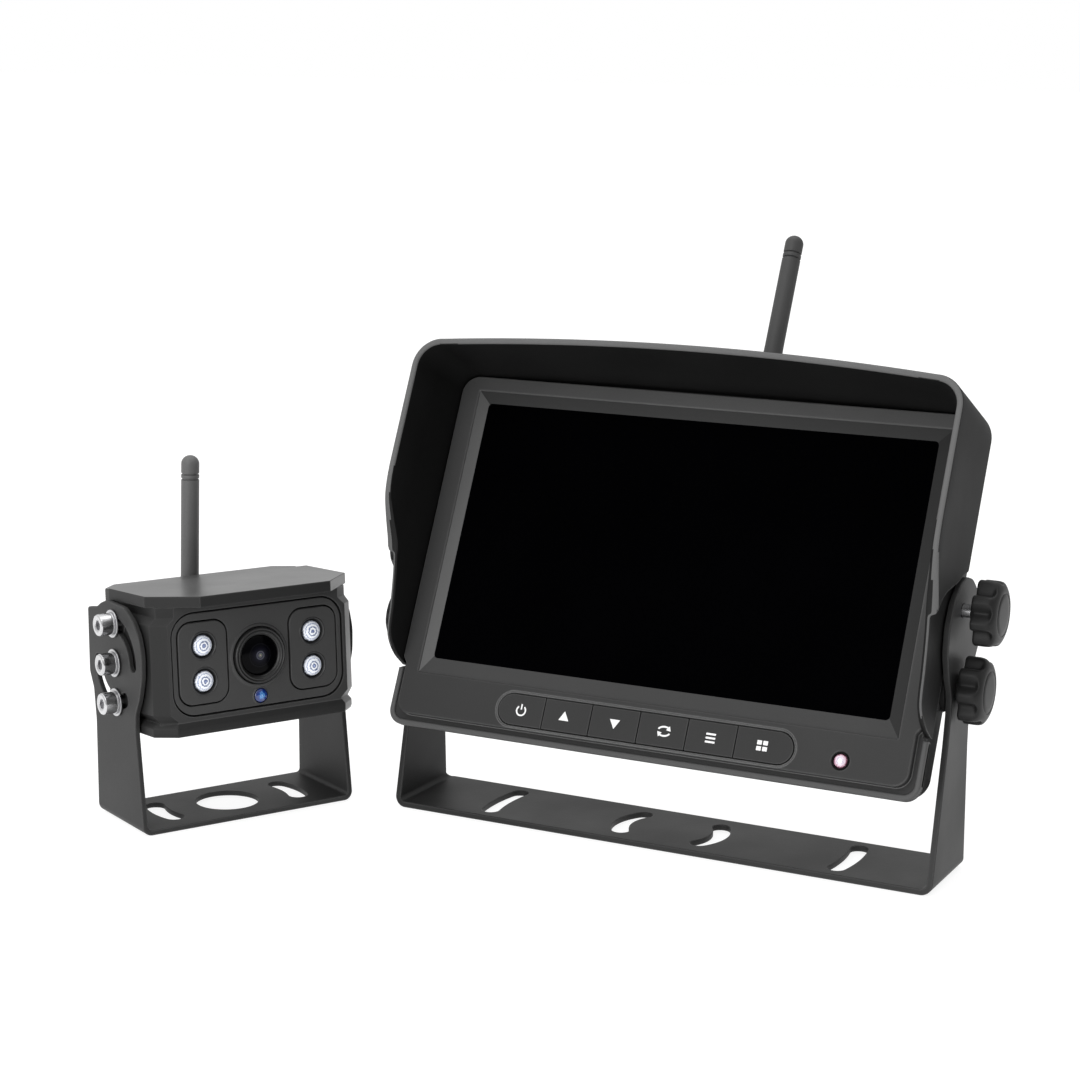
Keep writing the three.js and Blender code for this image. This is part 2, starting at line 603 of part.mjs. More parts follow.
// swivel hub with a whip leaning slightly more than the head tilts
function cameraAerialWhip() {
  const hubProfile = [[0, 19.9], [4.3, 19.9], [4.3, 25.6], [3.6, 26.6], [0, 26.6]];
  const length = 56.8;
  const lean = CAMERA.tilt + 1.8;
  const profile = [[0, 0], [3.3, 0], [3.3, 10], [3.05, 12], ...whipTip(length)];
  const whip = turn('Z', profile, [0, 0, 0], 15)
    .rotate([lean, 0, 0])
    .translate([0.6, 24.0, CAMERA_AERIAL_AT[2]]);
  return turn('Y', hubProfile, CAMERA_AERIAL_AT, 14).add(whip);
}

// ---- camera head ------------------------------------------------------------------------------
// left halves of the front housing's horizontal sections: [x, y]
const VISOR = symmetric([[-36.4, 8.0], [-36.4, -18.9], [-23.4, -31.6]]);
const GROOVE = symmetric([[-34.2, 8.0], [-34.2, -21.6], [-29.5, -25.0]]);
const MIDDLE = symmetric([[-36.2, 8.0], [-36.2, -21.0], [-32.1, -25.0]]);
const LOWER = symmetric([[-36.2, 8.0], [-36.2, -20.5], [-30.4, -26.2]]);
// layers of the front housing: [outline, low z, high z, bevel]
const HOUSING_LAYERS = [
  [VISOR, 19.5, 23.1, 0.35],
  [GROOVE, 15.5, 19.8, 0],
  [MIDDLE, -14.6, 15.6, 0.9],
  [GROOVE, -18.6, -14.4, 0],
  [LOWER, -21.7, -17.0, 0.5],
];
const panelOutline = gap => roundedRect(-30.75 - gap, 30.75 + gap, -15.8 - gap, 17.2 + gap,
  7.8 + gap, 7.8 + gap, 3);

// overhanging visor, grooved flanks and a stepped lower edge
function cameraFrontHousing() {
  const shell = cut(
    join(
      ...HOUSING_LAYERS.map(layer => prism('Z', ...layer)),
      box(-33, 33, -21.4, 7.9, -20, 20),
      box(-29.4, 29.4, -24.6, 7.9, -20, 20),
    ),
    box(-32.6, 32.6, -21.6, 9, -18.6, 19.0),
    prism('Y', panelOutline(0.2), -30, -23.4), // recess of the front panel
    prism('Y', roundedRect(-29, 29, -13.8, 15.2, 6), -30, -20),
    turn('Y', rod(2.7, -30, -20), SENSOR_AT),
  );
  // round pad on each flank that the bracket ears bear on, cut off straight at the back
  const pad = circle(0, 0, 16.0, 32).map(([y, z]) => [Math.min(y, 7.9), z]);
  return cut(
    join(
      shell,
      ...prismPair(pad, 33, 36.55),
      ...BOLTS.flatMap(([, z]) => prismPair(circle(0, z, 4.4), 30, 36.0)),
    ),
    ...BOLTS.flatMap(([, z]) => prismPair(circle(0, z, 2.08), 31.2, 45)),
  );
}

// closed tub behind the seam
function cameraRearHousing() {
  const plan = symmetric([[-35.2, SEAM_Y], [-35.2, 12.0], [-29.5, 18.0]]);
  return cut(
    prism('Z', plan, -20.9, 22.5, 0.5),
    box(-40, 40, 0, SEAM_Y, -40, 40),
    box(-31.5, 31.5, 7, 15.6, -18.4, 19.5),
    turn('Y', rod(4.0, 14, 20), GLAND_AT, 14),
    turn('Y', rod(3.1, 14, 20), CAMERA_AERIAL_AT, 14),
  );
}

// panel with two raised lamp fields and a central lens opening
function cameraFrontPanel() {
  const back = -23.42;
  const fields = [19.9, -19.9].map(x =>
    prism('Y', roundedRect(x - 8.5, x + 8.5, -12.2, 14.0, 4.6), -25.2, back, 0.3));
  const lensRing = [[0, back], [10.4, back], [10.4, -24.9], [9.9, -25.2], [0, -25.2]];
  const lampHole = [
    [0, -30], [4.6, -30], [4.6, -25.2], [4.0, -24.2], [3.75, -23.9], [3.75, -20], [0, -20],
  ];
  return cut(
    join(
      prism('Y', panelOutline(0), -24.7, back, 0.25),
      ...fields,
      turn('Y', lensRing, LENS_AT, 19),
    ),
    turn('Y', rod(9.3, -30, -20), LENS_AT, 19),
    ...LAMPS.map(([x, z]) => turn('Y', lampHole, [x, 0, z], 14)),
    turn('Y', rod(2.6, -30, -20), SENSOR_AT),
  );
}

const lensBarrel = () => turn('Y', [
  [0, -12.2], [7.4, -12.2], [7.4, -21.4], [9.1, -21.6], [9.1, -25.9], [8.6, -26.6],
  [7.9, -26.6], [7.5, -26.1], [6.6, -25.4], [6.6, -24.0], [0, -24.0],
], LENS_AT, 21);

const lensGlass = () => turn('Y', [
  [0, -24.02], [6.4, -24.02], [6.4, -25.1], [5.4, -25.55], [3.6, -25.95], [1.8, -26.15],
  [0, -26.2],
], LENS_AT, 19);

const lamp = (x, z) => turn('Y', [
  [0, -20.4], [3.0, -20.4], [3.6, -21.0], [3.6, -23.9], [3.3, -24.6], [2.4, -25.15],
  [1.2, -25.4], [0, -25.5],
], [x, 0, z], 14);

const lightSensor = () => turn('Y', [
  [0, -21.5], [2.4, -21.5], [2.4, -24.7], [1.7, -25.2], [0.8, -25.4], [0, -25.45],
], SENSOR_AT, 13);

// board with a block behind each pair of lamps and one on its back
const cameraBoard = () => boxes([
  [-29.5, 29.5, -12.0, -10.6, -13.6, 14.8],
  [-25, -14.4, -19.9, -11.9, -9.0, 10.0],
  [14.4, 25, -19.9, -11.9, -9.0, 10.0],
  [-8, 8, -10.7, -8.8, -7, 8],
]);

const cableGland = () => turn('Y', [
  [0, 13], [3.9, 13], [3.9, 18.1], [5.6, 18.15], [5.6, 22], [4.6, 22.6], [4.2, 27.5],
  [3.4, 28.2], [0, 28.2],
], GLAND_AT, 13);

// socket-head bolt through a bracket ear
function bolt(side, z) {
  const profile = [
    [0, 32], [2.0, 32], [2.0, 39.95], [3.5, 39.95], [3.5, 43.8], [3.2, 44.1], [0, 44.1],
  ];
  const socket = circle(0, z, 1.72, 6);
  return cut(sideTurn(side, profile, [0, 0, z]), sidePrism(side, socket, 41.8, 46));
}

const washer = (side, z) =>
  sidePrism(side, circle(0, z, 4.5, 15), 38.8, 39.93, [circle(0, z, 2.06)]);

// ---- assembly ---------------------------------------------------------------------------------
const root = makeGroup('backup_camera_kit');
addPiece(root, 'monitor_bracket', displayBracket(), FINISH.bracket);
for (const [name, side] of SIDES) {
  const { studTip, hub } = LOCK_FIT[name];
  addPiece(root, `lock_stud_${name}`, lockStud(side, studTip), FINISH.lockStud);
  const tiltKnob = knob(side, PIVOT_IN_KIT,
    { face: 102.2, hub: 92.8, bore: 3.05, boreEnd: 100.3, lobeAngle: 0 });
  addPiece(root, `tilt_knob_${name}`, tiltKnob, FINISH.knob);
  const lockKnob = knob(side, LOCK_IN_KIT,
    { face: studTip + 3.2, hub, bore: 2.25, boreEnd: studTip + 0.4, lobeAngle: 0.22 });
  addPiece(root, `lock_knob_${name}`, lockKnob, FINISH.knob);
}

const head = makeGroup('display_head', root);
head.position.set(0, DISPLAY.y, DISPLAY.z);
head.rotation.x = -DISPLAY.tilt;
addPiece(head, 'front_bezel', frontBezel(), FINISH.bezel);
addPiece(head, 'rear_cover', rearCover(), FINISH.rearCover);
addPiece(head, 'sunshade_hood', sunshadeHood(), FINISH.hood);
addPiece(head, 'screen_glass', screenGlass(), FINISH.screen);
addPiece(head, 'lcd_module', lcdModule(), FINISH.lcd);
addPiece(head, 'main_board', mainBoard(), FINISH.board);
addPiece(head, 'keypad_board', keypadBoard(), FINISH.board);
KEYS.forEach((key, i) => addPiece(head, `button_${key}`, button(i), FINISH.button));
addPiece(head, 'ir_window', irWindow(), FINISH.irWindow);
addPiece(head, 'monitor_antenna_base', displayAerialBase(), FINISH.aerialBase);
addPiece(head, 'monitor_antenna_whip', displayAerialWhip(), FINISH.whip);
REAR_SCREWS.forEach(([x, z], i) => {
  addPiece(head, `rear_screw_${i + 1}`, rearScrew(x, z), FINISH.rearScrew);
});
addPiece(head, 'power_inlet', powerInlet(), FINISH.inlet);
for (const [name, side] of SIDES) {
  addPiece(head, `tilt_stud_${name}`, tiltStud(side), FINISH.tiltStud);
  addPiece(head, `friction_washer_${name}`, frictionWasher(side), FINISH.rubber);
}

const unit = makeGroup('camera_unit', root);
unit.position.set(CAMERA_UNIT.x, CAMERA_UNIT.y, 0);
unit.rotation.z = CAMERA_UNIT.yaw;
addPiece(unit, 'camera_bracket', cameraBracket(), FINISH.bracket);

const camera = makeGroup('camera_head', unit);
camera.position.set(0, CAMERA.y, CAMERA.z);
camera.rotation.x = -CAMERA.tilt * DEG;
addPiece(camera, 'camera_front_housing', cameraFrontHousing(), FINISH.cameraFront);
addPiece(camera, 'camera_rear_housing', cameraRearHousing(), FINISH.cameraRear);
addPiece(camera, 'camera_front_panel', cameraFrontPanel(), FINISH.cameraPanel);
addPiece(camera, 'lens_barrel', lensBarrel(), FINISH.lensBarrel);
addPiece(camera, 'lens_glass', lensGlass(), FINISH.lensGlass);
LAMPS.forEach(([x, z], i) => addPiece(camera, `lamp_${i + 1}`, lamp(x, z), FINISH.lamp));
addPiece(camera, 'light_sensor', lightSensor(), FINISH.lightSensor);
addPiece(camera, 'camera_board', cameraBoard(), FINISH.board);
addPiece(camera, 'camera_cable_gland', cableGland(), FINISH.gland);
addPiece(camera, 'camera_antenna_base', cameraAerialBase(), FINISH.cameraAerialBase);
addPiece(camera, 'camera_antenna_whip', cameraAerialWhip(), FINISH.whip);
for (const [name, side] of SIDES) {
  for (const [place, z] of BOLTS) {
    addPiece(camera, `bolt_${name}_${place}`, bolt(side, z), FINISH.bolt);
    addPiece(camera, `washer_${name}_${place}`, washer(side, z), FINISH.washer);
  }
}

export default root;
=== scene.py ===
# A display with a sunshade in a tilting bracket, beside a camera with lamps in a bracket of its own.
# Row frame: +X is right, -Y is the front, +Z is up and the brackets stand on z = 0, in metres.
# Pieces are modelled in millimetres in their own frames: row, display, camera bracket, camera.
import json
from cmath import phase
from math import acos, atan2, cos, hypot, pi, radians, sin, tan

import bmesh
import bpy
from mathutils import Matrix, Vector


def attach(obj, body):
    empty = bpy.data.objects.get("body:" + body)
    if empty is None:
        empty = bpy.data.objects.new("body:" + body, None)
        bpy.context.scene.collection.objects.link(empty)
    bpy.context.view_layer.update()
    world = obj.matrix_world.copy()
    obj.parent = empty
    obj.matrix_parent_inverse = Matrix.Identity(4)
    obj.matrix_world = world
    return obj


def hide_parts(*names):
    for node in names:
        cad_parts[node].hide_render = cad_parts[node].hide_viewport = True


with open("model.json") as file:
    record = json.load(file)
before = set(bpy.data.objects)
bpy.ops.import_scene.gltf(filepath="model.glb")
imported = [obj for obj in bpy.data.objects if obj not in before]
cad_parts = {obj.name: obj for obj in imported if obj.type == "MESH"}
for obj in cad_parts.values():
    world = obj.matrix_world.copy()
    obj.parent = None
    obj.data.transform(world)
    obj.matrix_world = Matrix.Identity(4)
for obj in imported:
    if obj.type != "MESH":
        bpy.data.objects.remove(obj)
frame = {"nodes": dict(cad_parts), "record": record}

scene = bpy.context.scene
joints = {joint["name"]: joint for joint in frame["record"]["behaviour"]["joints"]}
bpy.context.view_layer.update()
SIDES = (("right", 1), ("left", -1))


def quick_build():
    """True when a quick build is asked for; no step here is slow enough to change."""
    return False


# ---------------------------------------------------------------------------------------
# Local frames
# ---------------------------------------------------------------------------------------
TILT_Y, TILT_Z = 13.86, -28.76             # tilt axis in the display frame
TRACK_RADIUS, TRACK_ANGLE = 23.98, 23.5    # lock track about the tilt axis, degrees past +Z
CAM_TILT_Y, CAM_TILT_Z = 2.4, 52.9         # camera tilt axis in the camera bracket frame

TO_ROW = Matrix.Scale(0.001, 4)
press_axis = Vector(joints["press_up"]["axis"])
tilt_place = Vector(joints["display_tilt"]["pos_m"])
display_turn = Matrix.Rotation(-atan2(-press_axis.z, press_axis.y), 4, "X")
display_shift = tilt_place - (display_turn @ Vector((0, TILT_Y, TILT_Z))) * 0.001
TO_DISPLAY = Matrix.Translation(display_shift) @ display_turn @ TO_ROW

camera_axis = Vector(joints["camera_tilt"]["axis"])
camera_place = Vector(joints["camera_tilt"]["pos_m"])
unit_turn = Matrix.Rotation(atan2(camera_axis.y, camera_axis.x), 4, "Z")
unit_shift = camera_place - (unit_turn @ Vector((0, CAM_TILT_Y, CAM_TILT_Z))) * 0.001
TO_UNIT = Matrix.Translation(unit_shift) @ unit_turn @ TO_ROW
swing_axis = unit_turn.inverted() @ Vector(joints["camera_aerial_swing"]["axis"])
CAMERA_TILT = atan2(-swing_axis.z, swing_axis.y)
camera_turn = unit_turn @ Matrix.Rotation(-CAMERA_TILT, 4, "X")
TO_CAMERA = Matrix.Translation(camera_place) @ camera_turn @ TO_ROW

lock = Vector(joints["lock_knob_right_turn"]["pos_m"]) * 1000    # lock stud, row frame, mm
pivot = tilt_place * 1000                                        # tilt axis, row frame, mm


# ---------------------------------------------------------------------------------------
# Outlines: lists of (x, y) points
# ---------------------------------------------------------------------------------------
def mirrored(points):
    return [(-x, y) for x, y in points[::-1]]


def symmetric(half):
    """A closed outline from its left half (or its right half)."""
    return half + mirrored(half)


def arc(x, y, radius, start, end, steps):
    """Arc about (x, y), both ends kept, angles in radians."""
    turns = [start + (end - start) * i / steps for i in range(steps + 1)]
    return [(x + radius * cos(turn), y + radius * sin(turn)) for turn in turns]


def circle(x, y, radius, count=40):
    return [(x + radius * cos(2 * pi * i / count), y + radius * sin(2 * pi * i / count))
            for i in range(count)]


def rect(x0, x1, y0, y1):
    return [(x0, y0), (x1, y0), (x1, y1), (x0, y1)]


def rounded(corners, radii, steps=8):
    """Corners rounded by one radius or a list of radii; steps count per right angle."""
    outline = []
    for i, point in enumerate(corners):
        radius = radii[i] if isinstance(radii, list) else radii
        if radius <= 0:
            outline.append(point)
            continue
        corner = complex(*point)
        before = complex(*corners[i - 1]) - corner
        after = complex(*corners[(i + 1) % len(corners)]) - corner
        before_length, after_length = abs(before), abs(after)
        before, after = before / before_length, after / after_length
        half = acos(max(-1, min(1, (before * after.conjugate()).real))) / 2
        if half > 1.555:    # nearly straight
            outline.append(point)
            continue
        reach = min(radius / tan(half), before_length * 0.49, after_length * 0.49)
        radius = reach * tan(half)
        middle = before + after
        centre = corner + middle / abs(middle) * radius / sin(half)
        start = phase(corner + before * reach - centre)
        sweep = phase(corner + after * reach - centre) - start
        while sweep > pi:
            sweep -= 2 * pi
        while sweep < -pi:
            sweep += 2 * pi
        count = max(2, int(round(steps * abs(sweep) / (pi / 2))))
        outline += [(centre.real + radius * cos(start + sweep * k / count),
                     centre.imag + radius * sin(start + sweep * k / count))
                    for k in range(count + 1)]
    return outline


def round_rect(x0, x1, y0, y1, radius, steps=8):
    return rounded(rect(x0, x1, y0, y1), radius, steps)


def arc_slot(x, y, radius, width, start, end, steps=20):
    """Slot along an arc, with round ends; angles in degrees."""
    half, start, end = width / 2, radians(start), radians(end)

    def cap(turn, facing):
        return arc(x + radius * cos(turn), y + radius * sin(turn), half,
                   facing, facing + pi, 10)[1:-1]
    return (arc(x, y, radius + half, start, end, steps) + cap(end, end)
            + arc(x, y, radius - half, start, end, steps)[::-1] + cap(start, start + pi))


def strip(path, width):
    """Outline of a band along an open path."""
    left, right = [], []
    for i, (x, y) in enumerate(path):
        before, after = path[max(0, i - 1)], path[min(len(path) - 1, i + 1)]
        run_x, run_y = after[0] - before[0], after[1] - before[1]
        length = hypot(run_x, run_y)
        side_x, side_y = -run_y / length * width / 2, run_x / length * width / 2
        left.append((x + side_x, y + side_y))
        right.append((x - side_x, y - side_y))
    return left + right[::-1]


def inner_outline(outline, width):
    """A closed outline moved inward by the width."""
    mid_x = sum(p[0] for p in outline) / len(outline)
    mid_y = sum(p[1] for p in outline) / len(outline)
    inner = []
    for i, (x, y) in enumerate(outline):
        before, after = outline[i - 1], outline[(i + 1) % len(outline)]
        run_x, run_y = after[0] - before[0], after[1] - before[1]
        length = hypot(run_x, run_y) or 1
        in_x, in_y = -run_y / length, run_x / length
        if (mid_x - x) * in_x + (mid_y - y) * in_y < 0:
            in_x, in_y = -in_x, -in_y
        inner.append((x + in_x * width, y + in_y * width))
    return inner


def smooth(share):
    share = max(0.0, min(1.0, share))
    return share * share * (3 - 2 * share)


# ---------------------------------------------------------------------------------------
# Meshes
# ---------------------------------------------------------------------------------------
def recalc(bm):
    bmesh.ops.recalc_face_normals(bm, faces=bm.faces)


def weld(bm, distance=1e-4):
    bmesh.ops.remove_doubles(bm, verts=bm.verts, dist=distance)


def add(bm, to, name, finish, body, slot, replaced=(), angle=32, merge=1e-4):
    """Makes the object: edges over the angle stay sharp; finish is one material name or several."""
    if merge:
        weld(bm, merge)
    bmesh.ops.dissolve_degenerate(bm, edges=bm.edges, dist=1e-5)
    bm.transform(to)
    recalc(bm)
    bm.normal_update()
    for edge in bm.edges:
        edge.smooth = not (len(edge.link_faces) == 2 and edge.calc_face_angle(0) > radians(angle))
    for face in bm.faces:
        face.smooth = True
    mesh = bpy.data.meshes.new(name)
    bm.to_mesh(mesh)
    bm.free()
    ob = bpy.data.objects.new(name, mesh)
    scene.collection.objects.link(ob)
    for key in [finish] if isinstance(finish, str) else finish:
        mesh.materials.append(MATERIALS[key])
    normals = ob.modifiers.new("wn", "WEIGHTED_NORMAL")
    normals.keep_sharp = True
    normals.weight = 80
    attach(ob, body)
    if replaced:
        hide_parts(*replaced)
    return ob


def on_row(bm, name, finish, body, slot, *replaced, **shading):
    return add(bm, TO_ROW, name, finish, body, slot, replaced, **shading)


def on_display(bm, name, finish, slot, *replaced, body="display", **shading):
    return add(bm, TO_DISPLAY, name, finish, body, slot, replaced, **shading)


def on_camera(bm, name, finish, slot, *replaced, body="camera", **shading):
    return add(bm, TO_CAMERA, name, finish, body, slot, replaced, **shading)


def local_faces(ob, to):
    """Each face with its centre and unit normal in the local frame."""
    back = to.inverted()
    turn = back.to_3x3().normalized()
    for face in ob.data.polygons:
        yield face, back @ face.center, turn @ face.normal


def join(*parts):
    joined = bmesh.new()
    for part in parts:
        mesh = bpy.data.meshes.new("tmp")
        part.to_mesh(mesh)
        part.free()
        joined.from_mesh(mesh)
        bpy.data.meshes.remove(mesh)
    return joined


def evaluated_mesh(ob):
    """The object's result as a bmesh; the object is removed."""
    graph = bpy.context.evaluated_depsgraph_get()
    mesh = bpy.data.meshes.new_from_object(ob.evaluated_get(graph))
    bm = bmesh.new()
    bm.from_mesh(mesh)
    bpy.data.objects.remove(ob)
    bpy.data.meshes.remove(mesh)
    return bm


PLATE_AXES = {
    "X": Matrix(((0, 0, 1, 0), (1, 0, 0, 0), (0, 1, 0, 0), (0, 0, 0, 1))),   # outline in (y, z)
    "Y": Matrix(((1, 0, 0, 0), (0, 0, -1, 0), (0, 1, 0, 0), (0, 0, 0, 1))),  # outline in (x, z)
    "Z": Matrix.Identity(4),                                                 # outline in (x, y)
}
PRISM_AXES = {
    "X": PLATE_AXES["X"],
    "Y": Matrix(((1, 0, 0, 0), (0, 0, 1, 0), (0, 1, 0, 0), (0, 0, 0, 1))),
}


def plate(axis, outline, lo, hi, bevel, holes=(), res=2):
    """Flat plate from lo to hi along the axis, rounded on its edges and round its holes."""
    curve = bpy.data.curves.new("tmp", "CURVE")
    curve.dimensions = "2D"
    curve.fill_mode = "BOTH"
    curve.extrude = max((hi - lo) / 2 - bevel, 0.0)
    curve.bevel_depth = bevel
    curve.bevel_resolution = res
    curve.offset = -bevel
    for loop in [outline] + list(holes):
        spline = curve.splines.new("POLY")
        spline.points.add(len(loop) - 1)
        for i, point in enumerate(loop):
            spline.points[i].co = (point[0], point[1], 0, 1)
        spline.use_cyclic_u = True
    ob = bpy.data.objects.new("tmp", curve)
    scene.collection.objects.link(ob)
    bm = evaluated_mesh(ob)
    bpy.data.curves.remove(curve)
    weld(bm)
    bm.transform(PLATE_AXES[axis])
    shift = [0, 0, 0]
    shift["XYZ".index(axis)] = (lo + hi) / 2
    bmesh.ops.translate(bm, verts=bm.verts, vec=shift)
    recalc(bm)
    return bm


def lathe(profile, count=48, axis="Z", at=(0, 0, 0), close=False):
    """Body of revolution; the profile is (radius, distance along the axis)."""
    bm = bmesh.new()
    rings = []
    for radius, height in profile:
        if radius < 1e-6:
            rings.append([bm.verts.new((0, 0, height))])
        else:
            rings.append([bm.verts.new((x, y, height)) for x, y in circle(0, 0, radius, count)])
    if close:
        rings.append(rings[0])
    for low, high in zip(rings, rings[1:]):
        for i in range(count):
            j = (i + 1) % count
            if len(low) == 1 and len(high) == 1:
                continue
            if len(low) == 1:
                bm.faces.new((low[0], high[i], high[j]))
            elif len(high) == 1:
                bm.faces.new((low[i], high[0], low[j]))
            else:
                bm.faces.new((low[i], high[i], high[j], low[j]))
    turn = {"Z": Matrix.Identity(4), "X": Matrix.Rotation(pi / 2, 4, "Y"),
            "Y": Matrix.Rotation(-pi / 2, 4, "X")}[axis]
    bm.transform(Matrix.Translation(at) @ turn)
    recalc(bm)
    return bm


def lathe_y(profile, count, x, z, close=False):
    """Body of revolution about the line along Y through (x, z)."""
    return lathe(profile, count, "Y", (x, 0, z), close)


def bridge(bm, ring, other):
    for i in range(len(ring)):
        j = (i + 1) % len(ring)
        bm.faces.new((ring[i], ring[j], other[j], other[i]))


def loft(levels, turn=Matrix.Identity(4)):
    """Closed body through a stack of (z, outline) with equal point counts."""
    bm = bmesh.new()
    rings = [[bm.verts.new((x, y, height)) for x, y in outline] for height, outline in levels]
    for low, high in zip(rings, rings[1:]):
        bridge(bm, low, high)
    bm.faces.new(rings[0][::-1])
    bm.faces.new(rings[-1])
    bm.transform(turn)
    recalc(bm)
    return bm


def prism(axis, outline, lo, hi):
    """Sharp-edged plate."""
    return loft([(lo, outline), (hi, outline)], PRISM_AXES[axis])


def boolean(bm, *cutters, operation="DIFFERENCE"):
    """Exact boolean of closed meshes."""
    def to_object(part, name):
        mesh = bpy.data.meshes.new(name)
        part.to_mesh(mesh)
        part.free()
        ob = bpy.data.objects.new(name, mesh)
        scene.collection.objects.link(ob)
        return ob

    ob = to_object(bm, "tmp")
    tools = []
    for cutter in cutters:
        recalc(cutter)
        tools.append(to_object(cutter, "cut"))
        step = ob.modifiers.new("b", "BOOLEAN")
        step.operation = operation
        step.object = tools[-1]
        step.solver = "EXACT"
    bpy.context.view_layer.update()
    result = evaluated_mesh(ob)
    for tool in tools:
        bpy.data.objects.remove(tool)
    return result


def soften(bm, width):
    """Rounds every edge sharper than 18 degrees."""
    weld(bm)
    recalc(bm)
    edges = [e for e in bm.edges if len(e.link_faces) == 2 and e.calc_face_angle(0) > radians(18)]
    bmesh.ops.bevel(bm, geom=edges, offset=width, segments=2, profile=0.5, affect="EDGES",
                    clamp_overlap=True, loop_slide=True)
    return bm


def span(sign, near, far):
    """Range between two distances from the middle plane, low end first."""
    return sorted((sign * near, sign * far))


def sheet(half, thick, bend, ear, depth, base_holes, ear_holes, bevel):
    """U of bent sheet metal: a flat blank folded up at both ends. Ear points are (y, z)."""
    flat, arc_length = half - bend, bend * pi / 2

    def along(z):
        return flat + arc_length + (z - bend)

    def y_at_bend(low, high):
        return low[0] + (high[0] - low[0]) * (bend - low[1]) / (high[1] - low[1])

    right = [(flat, -depth / 2), (flat + arc_length, y_at_bend(ear[0], ear[1]))]
    right += [(along(z), y) for y, z in ear[1:-1]]
    right += [(flat + arc_length, y_at_bend(ear[-1], ear[-2])), (flat, depth / 2)]
    holes = list(base_holes)
    for hole in ear_holes:
        for sign in (1, -1):
            holes.append([(sign * along(z), y) for y, z in hole])
    bm = plate("Z", symmetric(right), 0, thick, bevel, holes)
    for k in range(11):
        for sign in (1, -1):
            bmesh.ops.bisect_plane(bm, geom=bm.verts[:] + bm.edges[:] + bm.faces[:], dist=1e-5,
                                   plane_co=(sign * (flat + arc_length * k / 10), 0, 0),
                                   plane_no=(1, 0, 0))
    for vert in bm.verts:
        run, y, height = vert.co
        distance, sign = abs(run), 1 if run > 0 else -1
        if distance <= flat:
            continue
        if distance <= flat + arc_length:
            turn = (distance - flat) / bend
            vert.co = (sign * (flat + (bend - height) * sin(turn)), y,
                       bend - (bend - height) * cos(turn))
        else:
            vert.co = (sign * (half - height), y, bend + distance - flat - arc_length)
    return bm


def ring_about_x(bm, x, y, z, count, radius_at):
    """Ring of vertices across X; radius_at gives the radius of vertex i."""
    return [bm.verts.new((x, y + radius_at(i) * cos(2 * pi * i / count),
                          z + radius_at(i) * sin(2 * pi * i / count))) for i in range(count)]


# ---------------------------------------------------------------------------------------
# Materials
# ---------------------------------------------------------------------------------------
MATERIALS = {}


def feed(tree, target, *operands, **settings):
    """Sets up a node: capitalised names are inputs (From_Min is "From Min"), other names are
    properties, operands fill the inputs in order. Sockets are linked, plain values are set."""
    for key, value in settings.items():
        if key[0].islower():
            setattr(target, key, value)
    inputs = list(enumerate(operands))
    inputs += [(key.replace("_", " "), value) for key, value in settings.items()
               if not key[0].islower()]
    for key, value in inputs:
        if isinstance(value, bpy.types.NodeSocket):
            tree.links.new(value, target.inputs[key])
        else:
            target.inputs[key].default_value = value


def new_node(tree, kind, *operands, **settings):
    made = tree.nodes.new("ShaderNode" + kind)
    feed(tree, made, *operands, **settings)
    return made.outputs


def math_node(tree, operation, *operands):
    return new_node(tree, "Math", *operands, operation=operation)[0]


def vector_node(tree, operation, *operands, **settings):
    return new_node(tree, "VectorMath", *operands, operation=operation, **settings)


def map_range(tree, value, lo, hi, to_lo, to_hi):
    return new_node(tree, "MapRange", Value=value, From_Min=lo, From_Max=hi,
                    To_Min=to_lo, To_Max=to_hi)["Result"]


def start_material(name):
    made = bpy.data.materials.new(name)
    made.use_nodes = True
    MATERIALS[name] = made
    return made.node_tree, made.node_tree.nodes["Principled BSDF"]


